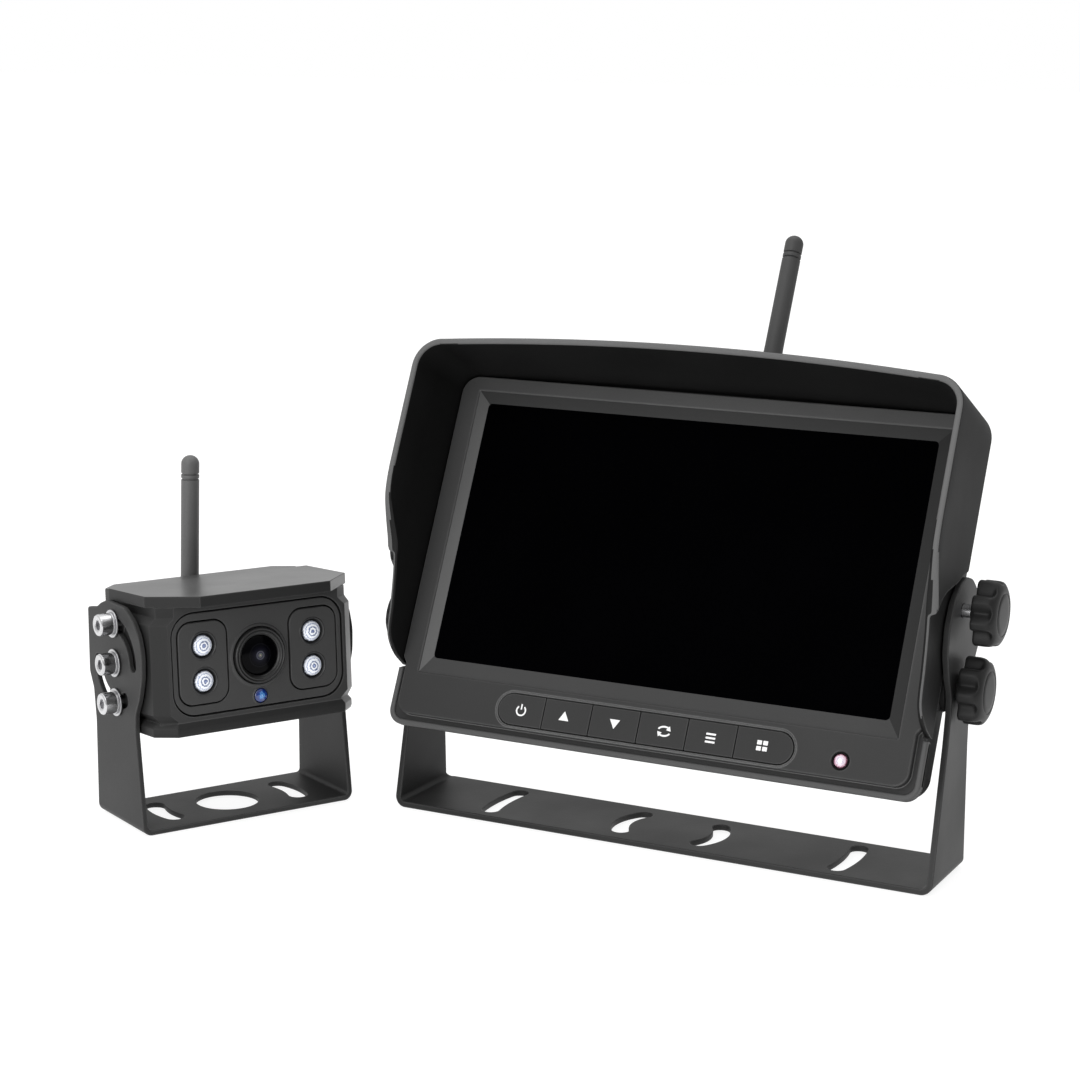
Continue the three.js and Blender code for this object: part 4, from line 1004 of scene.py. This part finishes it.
on_display(join(*rear), "rear_shell", "rear_plastic", "rear_plastic", "rear_cover")
on_display(join(plate("Y", rect(-46, 46, 26, 46), 20.0, 22.0, bevel=0.1)), "vent_shadow_plate",
           "seam_shadow", "rear_plastic")

SCREW = [(0, 9), (1.5, 9), (1.5, 24.0), (2.9, 24.0), (2.95, 24.2), (2.95, 25.0), (2.6, 25.5),
         (1.9, 25.8), (0, 25.9)]
for i, (x, z) in enumerate(SCREWS):
    head = lathe_y(SCREW, 40, x, z)
    bars = [prism("Y", rect(x - wide, x + wide, z - tall, z + tall), 24.7, 27)
            for wide, tall in ((1.7, 0.33), (0.33, 1.7))]
    on_display(boolean(head, boolean(*bars, operation="UNION")), "rear_screw_head_%d" % (i + 1),
               "zinc_screw", "screw_steel", "rear_screw_%d" % (i + 1))

INLET = [(0, 18), (4.1, 18), (4.1, 26.0), (5.2, 26.05), (5.3, 26.2), (5.3, 27.1), (5.0, 27.5),
         (4.6, 27.6), (3.1, 27.6), (2.9, 27.4), (2.9, 20.5), (1.0, 20.5), (1.0, 26.0),
         (0.6, 26.5), (0, 26.55)]
on_display(lathe_y(INLET, 44, INLET_X, INLET_Z), "power_inlet_socket", "gland_plastic",
           "inlet_plastic", "power_inlet", angle=40)

# ---------------------------------------------------------------------------------------
# Display aerial
# ---------------------------------------------------------------------------------------
WHIP_RADIUS = 3.0
AERIAL_X, AERIAL_Y, AERIAL_Z = 12.8, 14.0, 58.0    # aerial pivot


def whip_profile(tip, foot, foot_radius, taper):
    """Ringed rubber sleeve with a round end; taper is (radius, height above the foot)."""
    profile = [(0, foot), (foot_radius - 0.3, foot), (foot_radius, foot + 0.3)]
    profile += [(radius, foot + height) for radius, height in taper]
    base = foot + taper[-1][1]
    profile += [(WHIP_RADIUS + 0.04 * (1 - i / 8), base + (tip - 9.0 - base) * i / 8)
                for i in range(1, 8)]
    for groove in (tip - 8.1, tip - 6.4):
        profile += [(WHIP_RADIUS - inset, groove + rise) for inset, rise in
                    ((0, -0.25), (0.06, -0.1), (0.42, 0.05), (0.45, 0.3), (0.06, 0.5), (0, 0.65))]
    dome = WHIP_RADIUS * 0.95
    for i in range(10):
        turn = pi / 2 * i / 9
        profile.append((WHIP_RADIUS * cos(turn) if i < 9 else 0.0, tip - dome + dome * sin(turn)))
    return profile


MOUNT = [(0, 50.02), (5.0, 50.02), (5.2, 50.2), (5.2, 51.3), (4.9, 51.7), (4.1, 52.2),
         (4.0, 52.6), (4.0, 53.8), (3.8, 54.1), (0, 54.1)]
tongue = arc(AERIAL_Y, AERIAL_Z, 3.3, 0, pi, 20)
tongue += [(AERIAL_Y - 3.3, 53.9), (AERIAL_Y + 3.3, 53.9)]
mount = join(lathe(MOUNT, 48, "Z", (AERIAL_X, AERIAL_Y, 0)),
             plate("X", tongue, AERIAL_X - 1.5, AERIAL_X + 1.5, bevel=0.25,
                   holes=[circle(AERIAL_Y, AERIAL_Z, 1.25, 20)]))
on_display(mount, "aerial_mount_boss", "knuckle_plastic", "knuckle_plastic",
           "monitor_antenna_base")

whip = lathe(whip_profile(tip=112.9, foot=54.4, foot_radius=3.6,
                          taper=[(3.6, 12), (3.35, 13.5), (3.2, 15), (WHIP_RADIUS + 0.05, 20)]),
             56, "Z", (AERIAL_X, AERIAL_Y, 0))
whip = boolean(whip, prism("X", rect(AERIAL_Y - 8, AERIAL_Y + 8, 50, 62.2),
                           AERIAL_X - 1.75, AERIAL_X + 1.75))
round_foot = arc(AERIAL_Y, AERIAL_Z, 3.58, 0, -pi, 18)
round_foot += [(AERIAL_Y - 3.62, 130), (AERIAL_Y + 3.62, 130)]
whip = boolean(whip, prism("X", round_foot, AERIAL_X - 6, AERIAL_X + 6), operation="INTERSECT")
pin = plate("X", circle(AERIAL_Y, AERIAL_Z, 1.15, 20), AERIAL_X - 3.4, AERIAL_X + 3.4, bevel=0.15)
on_display(join(whip, pin), "display_aerial_sleeve", "aerial_rubber", "aerial_rubber",
           "monitor_antenna_whip", body="display_aerial", angle=40)

# ---------------------------------------------------------------------------------------
# Tilt studs, friction rings and star knobs
# ---------------------------------------------------------------------------------------
TILT_STUD = [(0, 76.5), (2.9, 76.5), (2.9, 94.8), (2.4, 95.2), (2.4, 99.6), (2.2, 99.8),
             (0, 99.8)]
for side, sign in SIDES:
    on_display(lathe(along(sign, TILT_STUD), 36, "X", (0, TILT_Y, TILT_Z)),
               "tilt_stud_turned_" + side, "stainless", "stainless", "tilt_stud_" + side)
    washer = plate("X", circle(TILT_Y, TILT_Z, 7.4, 48), *span(sign, 88.62, 90.3), bevel=0.35,
                   holes=[circle(TILT_Y, TILT_Z, 3.1, 28)])
    on_display(washer, "friction_ring_" + side, "washer_rubber", "gasket_rubber",
               "friction_washer_" + side)

KNOB_RADIUS, KNOB_DEPTH, LOBES, FLUTE_DEPTH = 10.4, 7.6, 8, 2.5
# cap from its back to its face: distance from the back, radius change, share of the flute depth
KNOB_CAP = (
    (0.15, -1.2, 1.0), (0.0, -0.75, 1.0), (0.05, -0.35, 1.0), (0.35, -0.06, 1.0), (0.8, 0.0, 1.0),
    (1.8, 0.0, 1.0), (2.8, 0.0, 1.0), (3.6, 0.0, 1.0), (4.2, -0.02, 1.0), (4.6, -0.06, 0.98),
    (5.0, -0.13, 0.93), (5.3, -0.20, 0.86), (5.55, -0.28, 0.76), (5.75, -0.38, 0.64),
    (5.95, -0.5, 0.50), (6.15, -0.66, 0.37), (6.4, -0.95, 0.22), (6.75, -1.45, 0.08),
    (7.05, -2.05, 0.01), (7.28, -2.65, 0), (7.42, -3.2, 0), (7.46, -3.7, 0), (7.30, -3.85, 0),
    (7.30, -4.1, 0), (7.48, -4.25, 0), (7.56, -6.0, 0), (7.6, -8.5, 0))


def knob(sign, centre, face, hub, bore, end, turn):
    """Star knob: round cap with thumb flutes, hub toward the ear. face, hub and the end of the
    bore are distances from the middle plane; turn is the angle of a lobe."""
    count = LOBES * 24
    back = face - KNOB_DEPTH
    rows = [(hub, bore, 0), (hub, 4.1, 0), (hub + 0.15, 4.4, 0), (hub + 0.5, 4.5, 0),
            (back + 0.25, 4.6, 0), (back + 0.3, 6.6, 0)]
    rows += [(back + x, KNOB_RADIUS + change, share) for x, change, share in KNOB_CAP]

    def flute(i):
        """0 on a lobe, 1 in the middle of a flute."""
        lobe_share = ((2 * pi * i / count - turn) * LOBES / (2 * pi)) % 1.0 - 0.5
        return smooth((abs(lobe_share) * 2 - 0.14) / 0.86)

    bm = bmesh.new()
    rings = [ring_about_x(bm, sign * x, centre.y, centre.z, count,
                          lambda i: radius - FLUTE_DEPTH * share * flute(i))
             for x, radius, share in rows]
    apex = bm.verts.new((sign * face, centre.y, centre.z))
    floor_ring = ring_about_x(bm, sign * end, centre.y, centre.z, count, lambda i: bore)
    floor_middle = bm.verts.new((sign * end, centre.y, centre.z))
    for low, high in zip(rings, rings[1:]):
        bridge(bm, low, high)
    for i in range(count):
        j = (i + 1) % count
        bm.faces.new((rings[-1][i], rings[-1][j], apex))
        bm.faces.new((rings[0][j], rings[0][i], floor_ring[i], floor_ring[j]))
        bm.faces.new((floor_ring[j], floor_ring[i], floor_middle))
    recalc(bm)
    return bm


LOCK_KNOBS = (dict(face=105.1, hub=95.9, end=102.3), dict(face=101.0, hub=92.8, end=98.2))
for (side, sign), lock_sizes in zip(SIDES, LOCK_KNOBS):
    tilt_knob = knob(sign, pivot, face=102.2, hub=92.8, bore=3.05, end=100.3, turn=radians(22.5))
    lock_knob = knob(sign, lock, bore=2.25, turn=radians(35.1), **lock_sizes)
    for kind, bm in (("tilt", tilt_knob), ("lock", lock_knob)):
        knob_name = "%s_knob_" % kind
        on_row(bm, knob_name + "star_" + side, "knob_plastic", knob_name + side + "_body",
               "knob_plastic", knob_name + side, angle=50)

# ---------------------------------------------------------------------------------------
# Camera bracket
# ---------------------------------------------------------------------------------------
# ear outline from the front foot over the top to the rear foot, (y, z)
CAMERA_EAR = [
    (-16.6, 0), (-11.4, 33), (-11.6, 39), (-14.4, 44.4), (-16.4, 51.5), (-16.4, 59.0),
    (-14.4, 64.6), (-10.4, 69.0), (-4.2, 72.2), (8.6, 72.2), (12.6, 70.6), (15.6, 68.8),
    (22.2, 67.6), (21.6, 46.4), (18.8, 41.4), (17.2, 31), (16.6, 0)]
CAMERA_EAR_RADII = [0, 12, 5, 5, 12, 12, 6, 6, 5, 5, 5, 3, 1.2, 4, 4, 12, 0]
BOLT_PITCH = 12.7    # the ear slots run at this radius about the middle bolt
bracket = sheet(
    half=38.5, thick=1.7, bend=3.0, ear=rounded(CAMERA_EAR, CAMERA_EAR_RADII, 12), depth=33.2,
    base_holes=[circle(0, 0, 10.3, 64)] + [arc_slot(0, 0, 23.9, 6.2, mid - 17, mid + 17)
                                           for mid in (0, 180)],
    ear_holes=[circle(CAM_TILT_Y, CAM_TILT_Z, 2.35, 30)]
    + [arc_slot(CAM_TILT_Y, CAM_TILT_Z, BOLT_PITCH, 4.7, start, end, 28)
       for start, end in ((59.5, 172), (-121, -8))],
    bevel=0.32)
add(bracket, TO_UNIT, "camera_bracket_sheet", "powder_coat_camera", "camera_base",
    "bracket_steel", ["camera_bracket"])

# ---------------------------------------------------------------------------------------
# Camera castings
# ---------------------------------------------------------------------------------------
LENS_Z = 0.9
SENSOR_X, SENSOR_Z = 0.2, -12.3
LAMPS = [(x, z) for x in (-19.7, 19.7) for z in (6.3, -5.1)]
BOLTS = (("upper", BOLT_PITCH), ("middle", 0.0), ("lower", -BOLT_PITCH))


def plan(open_y, side, side_y, end, end_y):
    """Box outline in (x, y) with its two corners at end_y cut off."""
    return symmetric([(-side, open_y), (-side, side_y), (-end, end_y)])


NARROW = plan(7.95, 34.2, -21.6, 29.5, -25.0)
WIDE = plan(7.95, 36.2, -21.0, 32.1, -25.0)
core = loft([(-19.4, NARROW), (-16.9, NARROW), (-14.6, WIDE), (13.9, WIDE), (16.3, NARROW),
             (19.6, NARROW)])
core = boolean(core, prism("Y", round_rect(-30.95, 30.95, -16.0, 17.4, 8, 10), -30, -23.4))
core = soften(core, 0.28)
visor = plate("Z", symmetric([(-36.4, 6.5), (-36.4, -18.9), (-23.4, -31.6)]), 19.5, 23.1,
              bevel=0.28, res=3)
SILL = plan(7.95, 36.2, -20.5, 30.4, -26.2)
sill = soften(loft([(-21.7, plan(7.95, 35.9, -20.2, 30.1, -25.9)), (-20.6, SILL), (-18.8, SILL),
                    (-17.4, plan(7.95, 35.0, -20.6, 29.7, -25.0))]), 0.25)
# side discs, cut flat at the joint; of the points on the cut only its two ends are kept
clipped = [(min(y, 7.9), z) for y, z in circle(0, 0, 16.0, 96)]
disc = [point for k, point in enumerate(clipped)
        if not all(clipped[(k + step) % 96][0] == 7.9 for step in (-1, 0, 1))]
pads = []
for sign in (1, -1):
    pads.append(plate("X", disc, *span(sign, 35.6, 36.5), bevel=0.25))
    for _, z in BOLTS:
        pads.append(plate("X", circle(0, z, 4.4, 36), *span(sign, 35.5, 36.75), bevel=0.1))
casting = on_camera(join(core, visor, sill, *pads), "camera_front_casting",
                    ("camera_casting", "camera_casting_side_painted_shade", "camera_casting_front_painted_shade"),
                    "camera_body", "camera_front_housing", angle=28)
# painted shade: front faces take the darker front copy; faces turned left, down or forward take the
# darker side copy; the top and right-facing faces keep the base finish
for polygon, centre, normal in local_faces(casting, TO_CAMERA):
    if normal.y < -0.9 and centre.y > -25.5:
        polygon.material_index = 2
    elif normal.z < 0.93 and (normal.x < -0.25 or normal.z < -0.5
                              or (normal.y < -0.3 and normal.x < 0.4)):
        polygon.material_index = 1

REAR_END = plan(8.05, 35.0, 11.9, 29.4, 17.8)
REAR_FULL = plan(8.05, 35.2, 12.0, 29.5, 18.0)
rear = soften(loft([(-20.9, REAR_END), (-20.4, REAR_FULL), (22.0, REAR_FULL), (22.5, REAR_END)]),
              0.3)
frame_line = plate("Y", round_rect(-24, 24, -15, 16, 4), 17.7, 18.3, bevel=0.2,
                   holes=[round_rect(-23.2, 23.2, -14.2, 15.2, 3.4)])
casting = on_camera(join(rear, frame_line), "camera_rear_casting",
                    ("camera_casting", "camera_casting_front_painted_shade"), "camera_body",
                    "camera_rear_housing", angle=28)
# painted shade: every face but the top takes the darker front copy
for polygon, _, normal in local_faces(casting, TO_CAMERA):
    if normal.z < 0.93:
        polygon.material_index = 1
on_camera(plate("Z", [(-34.8, 7.2), (-34.8, 8.5), (34.8, 8.5), (34.8, 7.2)], -20.6, 21.6,
                bevel=0.05), "camera_joint_gasket", "seam_shadow", "camera_body")

# ---------------------------------------------------------------------------------------
# Camera face: field, two lamp pods, collars round the lens and the light sensor
# ---------------------------------------------------------------------------------------
def pod(sign, grow, radius):
    """Outline round the two lamps of one side."""
    return round_rect(sign * 19.9 - 8.5 - grow, sign * 19.9 + 8.5 + grow, -12.2 - grow,
                      14.0 + grow, radius, 10)


field = plate("Y", round_rect(-30.5, 30.5, -15.5, 16.9, 7.6, 12), -24.7, -23.42, bevel=0.25,
              holes=[circle(0, LENS_Z, 9.3, 64), circle(SENSOR_X, SENSOR_Z, 2.6, 32),
                     pod(-1, 0.45, 5.0), pod(1, 0.45, 5.0)])
pods = [plate("Y", pod(sign, 0, 4.6), -24.95, -23.42, bevel=0.3,
              holes=[circle(x, z, 4.55, 40) for x, z in LAMPS if x * sign > 0])
        for sign in (-1, 1)]
LAMP_CUP = [(4.75, -23.9), (4.75, -24.9), (4.62, -25.05), (4.4, -25.1), (4.2, -24.95),
            (4.0, -24.5), (3.75, -23.9)]
LENS_COLLAR = [(9.3, -23.5), (9.3, -24.9), (9.5, -25.15), (9.8, -25.2), (10.15, -25.1),
               (10.4, -24.85), (10.4, -23.5)]
SENSOR_COLLAR = [(2.45, -23.5), (2.45, -24.7), (2.6, -24.9), (2.8, -24.9), (3.0, -24.7),
                 (3.0, -23.5)]
cups = [lathe_y(LAMP_CUP, 48, x, z, close=True) for x, z in LAMPS]
collars = [lathe_y(LENS_COLLAR, 72, 0, LENS_Z, close=True),
           lathe_y(SENSOR_COLLAR, 40, SENSOR_X, SENSOR_Z, close=True)]
grooves = plate("Y", round_rect(-30.85, 30.85, -15.9, 17.3, 7.9, 12), -23.55, -23.2, bevel=0.05,
                holes=[circle(0, LENS_Z, 9.2, 48), circle(SENSOR_X, SENSOR_Z, 2.55, 32)]
                + [circle(x, z, 3.7, 32) for x, z in LAMPS])
on_camera(join(field, *pods, *collars), "camera_face_panel", "camera_face", "camera_face",
          "camera_front_panel", angle=30)
on_camera(join(*cups), "lamp_cups", "lamp_cup", "camera_face", angle=30)
on_camera(grooves, "camera_face_grooves", "seam_shadow", "camera_face", angle=30)

# lens
BARREL = [(0, -12.2), (7.4, -12.2), (7.4, -21.4), (9.1, -21.6), (9.1, -25.7), (8.95, -26.1),
          (8.7, -26.35), (8.45, -26.4), (8.3, -26.3), (8.2, -26.1), (8.05, -26.05),
          (7.95, -26.25), (7.8, -26.35), (7.55, -26.3), (7.4, -26.0), (7.1, -25.9),
          (6.95, -25.5), (6.7, -25.4), (6.6, -25.1), (6.6, -24.0), (0, -24.0)]
on_camera(lathe_y(BARREL, 80, 0, LENS_Z), "lens_barrel_stepped", "lens_black", "lens_black",
          "lens_barrel", angle=50)
NEAR_BLACK = (0.0008, 0.0008, 0.0012)
# the optic's rings and its magenta centre are painted reflections and a painted glint
ring_material("lens_optic.001", TO_CAMERA, 0, LENS_Z, [
    (0, (0.42, 0.12, 0.38)), (0.22, (0.30, 0.28, 0.20)), (0.42, (0.02, 0.05, 0.03)),
    (0.62, (0.16, 0.17, 0.19)), (0.78, (0.012, 0.012, 0.02)), (1.15, (0.06, 0.055, 0.08)),
    (1.35, (0.09, 0.10, 0.12)), (1.5, (0.008, 0.008, 0.014)), (2.4, (0.003, 0.003, 0.006)),
    (3.5, (0.0012, 0.0012, 0.002)), (3.7, (0.006, 0.006, 0.008)), (3.9, NEAR_BLACK),
    (6.4, NEAR_BLACK)], rough=0.14, wobble=0.12, spec=0.06)
LENS = [(0, -24.02), (6.5, -24.02), (6.5, -24.7), (6.3, -24.95), (5.4, -25.25), (4.2, -25.5),
        (3.0, -25.68), (1.5, -25.8), (0, -25.84)]
on_camera(lathe_y(LENS, 72, 0, LENS_Z), "lens_front_element", "lens_optic.001", "lens_optic",
          "lens_glass", angle=60)

# lamps: the rings on the domes are painted reflections of the reflector cups, with a faint painted
# glow
LAMP_RINGS = [
    (0, (0.45, 0.55, 0.85)), (0.3, (0.05, 0.08, 0.22)), (0.55, (0.10, 0.14, 0.30)),
    (0.8, (0.95, 0.97, 1.0)), (1.15, (0.90, 0.94, 1.0)), (1.3, (0.10, 0.13, 0.24)),
    (1.55, (0.14, 0.18, 0.32)), (1.7, (0.88, 0.92, 1.0)), (2.3, (0.95, 0.97, 1.0)),
    (2.42, (0.30, 0.35, 0.52)), (2.6, (0.40, 0.46, 0.62)), (2.75, (0.97, 0.98, 1.0)),
    (3.05, (0.60, 0.64, 0.74)), (3.3, (0.10, 0.11, 0.13)), (3.5, (0.03, 0.03, 0.035))]
LAMP = [(0, -20.4), (3.0, -20.4), (3.6, -21.0), (3.6, -23.7), (3.45, -24.2), (3.1, -24.7),
        (2.5, -25.1), (1.7, -25.38), (0.9, -25.48), (0, -25.5)]
for i, (x, z) in enumerate(LAMPS, 1):
    ring_material("lamp_lens_%d" % i, TO_CAMERA, x, z, LAMP_RINGS, rough=0.08, wobble=1.0,
                  glow=0.12, coat=0.6)
    on_camera(lathe_y(LAMP, 48, x, z), "lamp_dome_%d" % i, "lamp_lens_%d" % i, "lamp_lens",
              "lamp_%d" % i, angle=60)

# light sensor: a blue dome whose lighter centre and ring are painted highlights, with a faint
# painted glow
ring_material("light_sensor_blue", TO_CAMERA, SENSOR_X, SENSOR_Z, [
    (0, (0.25, 0.5, 0.75)), (0.35, (0.02, 0.12, 0.42)), (0.7, (0.10, 0.32, 0.66)),
    (1.0, (0.01, 0.05, 0.24)), (1.6, (0.006, 0.028, 0.17)), (2.1, (0.004, 0.015, 0.10)),
    (2.5, (0.002, 0.006, 0.03))], rough=0.07, wobble=2.2, glow=0.12, coat=1.0)
SENSOR = [(0, -21.5), (2.4, -21.5), (2.4, -24.5), (2.2, -24.85), (1.8, -25.1), (1.2, -25.3),
          (0.6, -25.42), (0, -25.45)]
on_camera(lathe_y(SENSOR, 40, SENSOR_X, SENSOR_Z), "light_sensor_dome", "light_sensor_blue",
          "sensor_blue", "light_sensor", angle=60)

# ---------------------------------------------------------------------------------------
# Back of the camera: cable gland, aerial socket and aerial
# ---------------------------------------------------------------------------------------
GLAND_X, GLAND_Z, SOCKET_Z = -18, -11, 6
GLAND = [(0, 13), (3.9, 13), (3.9, 18.3), (4.7, 18.35), (4.7, 22.0), (4.6, 22.6), (4.4, 23.0),
         (4.2, 27.5), (3.9, 28.0), (3.4, 28.2), (1.9, 28.2), (1.8, 27.6), (0, 27.6)]
nut = plate("Y", circle(GLAND_X, GLAND_Z, 5.6, 6), 18.35, 21.9, bevel=0.35,
            holes=[circle(GLAND_X, GLAND_Z, 4.0, 32)])
on_camera(join(lathe_y(GLAND, 44, GLAND_X, GLAND_Z), nut), "cable_gland_nut", "gland_plastic",
          "inlet_plastic", "camera_cable_gland", angle=35)
SOCKET = [(0, 14.2), (3.0, 14.2), (3.0, 18.04), (4.5, 18.1), (4.6, 18.25), (4.6, 19.4),
          (4.4, 19.6), (0, 19.6)]
on_camera(lathe_y(SOCKET, 40, 0, SOCKET_Z), "aerial_socket", "nickel", "connector",
          "camera_antenna_base")
HUB = [(0, 19.9), (4.1, 19.9), (4.3, 20.1), (4.3, 25.4), (4.1, 26.0), (3.6, 26.6), (0, 26.6)]
whip = lathe(whip_profile(tip=56.8, foot=0.0, foot_radius=3.3,
                          taper=[(3.3, 10), (WHIP_RADIUS + 0.05, 12)]), 56)
whip.transform(Matrix.Translation((0.6, 24.0, SOCKET_Z))
               @ Matrix.Rotation(CAMERA_TILT + radians(1.8), 4, "X"))
on_camera(join(lathe_y(HUB, 44, 0, SOCKET_Z), whip), "camera_aerial_sleeve",
          "aerial_rubber_camera", "aerial_rubber", "camera_antenna_whip", body="camera_aerial",
          angle=40)

# ---------------------------------------------------------------------------------------
# Socket-head bolts with flat and spring washers
# ---------------------------------------------------------------------------------------
# distance from the middle plane, radius (None: hexagon socket), knurl depth
BOLT_ROWS = (
    (32.0, 0.01, 0), (32.0, 1.8, 0), (32.3, 2.0, 0), (39.95, 2.0, 0), (39.95, 3.2, 0),
    (40.1, 3.45, 0), (40.4, 3.5, 0.11), (43.3, 3.5, 0.11), (43.6, 3.45, 0), (43.9, 3.3, 0),
    (44.08, 3.0, 0), (44.1, 2.3, 0), (44.0, 2.0, 0), (43.75, None, 0), (41.9, None, 0),
    (41.6, 0.01, 0))


def bolt(sign, z):
    count = 72

    def radius_at(i, radius, knurl):
        if radius is None:
            return 1.72 * cos(pi / 6) / cos((2 * pi * i / count) % (pi / 3) - pi / 6)
        return radius - (knurl if i % 2 else 0.0)

    bm = bmesh.new()
    rings = [ring_about_x(bm, sign * x, 0, z, count, lambda i: radius_at(i, radius, knurl))
             for x, radius, knurl in BOLT_ROWS]
    for low, high in zip(rings, rings[1:]):
        bridge(bm, low, high)
    bm.faces.new(rings[0])
    bm.faces.new(rings[-1])
    weld(bm, 0.02)
    recalc(bm)
    return bm


# outer radius, near and far face, hole radius: flat washer, spring washer
WASHERS = ((4.5, 38.8, 39.3, 2.2), (3.75, 39.33, 39.92, 2.15))
for side, sign in SIDES[::-1]:
    for level, z in BOLTS:
        place = side + "_" + level
        on_camera(bolt(sign, z), "socket_bolt_" + place, "stainless", "stainless",
                  "bolt_" + place, angle=28, merge=0)
        pair = [plate("X", circle(0, z, radius, 56), *span(sign, near, far), bevel=0.12,
                      holes=[circle(0, z, hole, 30)]) for radius, near, far, hole in WASHERS]
        on_camera(join(*pair), "washer_pair_" + place, "washer_steel", "stainless",
                  "washer_" + place)

# boards and backing panel keep their CAD shape
material("board_green", (0.01, 0.09, 0.035), rough=0.4, grain=1500, bump=0.2, mottle=0.2,
         edge_wear_and_highlight=0.3)
material("panel_backing", (0.5, 0.5, 0.52), rough=0.35, metal=0.9, grain=1200, bump=0.1,
         mottle=0.08)
for name, finish in (("lcd_module", "panel_backing"), ("main_board", "board_green"),
                     ("keypad_board", "board_green"), ("camera_board", "board_green")):
    for slot in frame["nodes"][name].material_slots:
        slot.link = "OBJECT"
        slot.material = MATERIALS[finish]

# ---------------------------------------------------------------------------------------
# Floor, world, lights and camera, in metres
# ---------------------------------------------------------------------------------------
FLOOR_SIZE, FLOOR_CELLS, FLOOR_Z = 120, 24, -0.0002
grid = bmesh.new()
for i in range(FLOOR_CELLS + 1):
    for j in range(FLOOR_CELLS + 1):
        grid.verts.new(((i / FLOOR_CELLS - 0.5) * FLOOR_SIZE,
                        (j / FLOOR_CELLS - 0.5) * FLOOR_SIZE, FLOOR_Z))
grid.verts.ensure_lookup_table()
row = FLOOR_CELLS + 1
for i in range(FLOOR_CELLS):
    for j in range(FLOOR_CELLS):
        first = i * row + j
        grid.faces.new([grid.verts[k] for k in (first, first + row, first + row + 1, first + 1)])
mesh = bpy.data.meshes.new("floor")
grid.to_mesh(mesh)
grid.free()
floor = bpy.data.objects.new("floor", mesh)
scene.collection.objects.link(floor)
material("pale_floor", (0.28, 0.28, 0.28), rough=0.9, grain=300, bump=0.0, mottle=0.004,
         rough_mottle=0.02, spec=0.0, glow=0.86)
mesh.materials.append(MATERIALS["pale_floor"])

# world: brightest from the upper left rear, plain white to the camera
world = bpy.data.worlds.new("studio")
scene.world = world
world.use_nodes = True
tree = world.node_tree
direction = new_node(tree, "TexCoord")["Generated"]
facing = vector_node(tree, "DOT_PRODUCT", direction, (-0.42, 0.22, 0.88))["Value"]
strength = new_node(tree, "Mix", data_type="FLOAT", B=1.0,
                    Factor=new_node(tree, "LightPath")["Is Camera Ray"],
                    A=map_range(tree, facing, -0.45, 0.9, 0.16, 1.1))[0]
feed(tree, tree.nodes["Background"], (1, 1, 1, 1), strength)


def area_light(name, place, size, power):
    light = bpy.data.lights.new(name, "AREA")
    light.energy = power
    light.size = size
    ob = bpy.data.objects.new(name, light)
    scene.collection.objects.link(ob)
    ob.location = place
    aim = Vector((-0.045, 0.0, 0.07)) - Vector(place)
    ob.rotation_euler = aim.to_track_quat("-Z", "Y").to_euler()


area_light("key", place=(-0.30, -1.0, 1.1), size=0.6, power=3.5)
area_light("front", place=(-0.25, -1.55, 0.30), size=0.9, power=9)
area_light("top", place=(-0.1, 0.1, 1.3), size=0.9, power=5)

# camera: to the right of the front and a little above, slightly rolled
AZIMUTH, ELEVATION, ROLL = radians(26.628), radians(10.923), radians(0.946)
DISTANCE = 0.777226
TARGET = Vector((-0.046767, -0.004111, 0.09244))
lens = bpy.data.cameras.new("view")
lens.lens = 80.55
lens.sensor_width = 36
lens.sensor_fit = "HORIZONTAL"
lens.clip_start = 0.01
lens.clip_end = 300
view = bpy.data.objects.new("view", lens)
scene.collection.objects.link(view)
back = Vector((sin(AZIMUTH) * cos(ELEVATION), -cos(AZIMUTH) * cos(ELEVATION), sin(ELEVATION)))
level_right = Vector((cos(AZIMUTH), sin(AZIMUTH), 0))
level_up = back.cross(level_right)
right = level_right * cos(ROLL) + level_up * sin(ROLL)
up = level_up * cos(ROLL) - level_right * sin(ROLL)
view.matrix_world = Matrix((right, up, back)).transposed().to_4x4()
view.location = TARGET + back * DISTANCE
scene.camera = view
scene.view_settings.view_transform = "Standard"
scene.view_settings.look = "None"
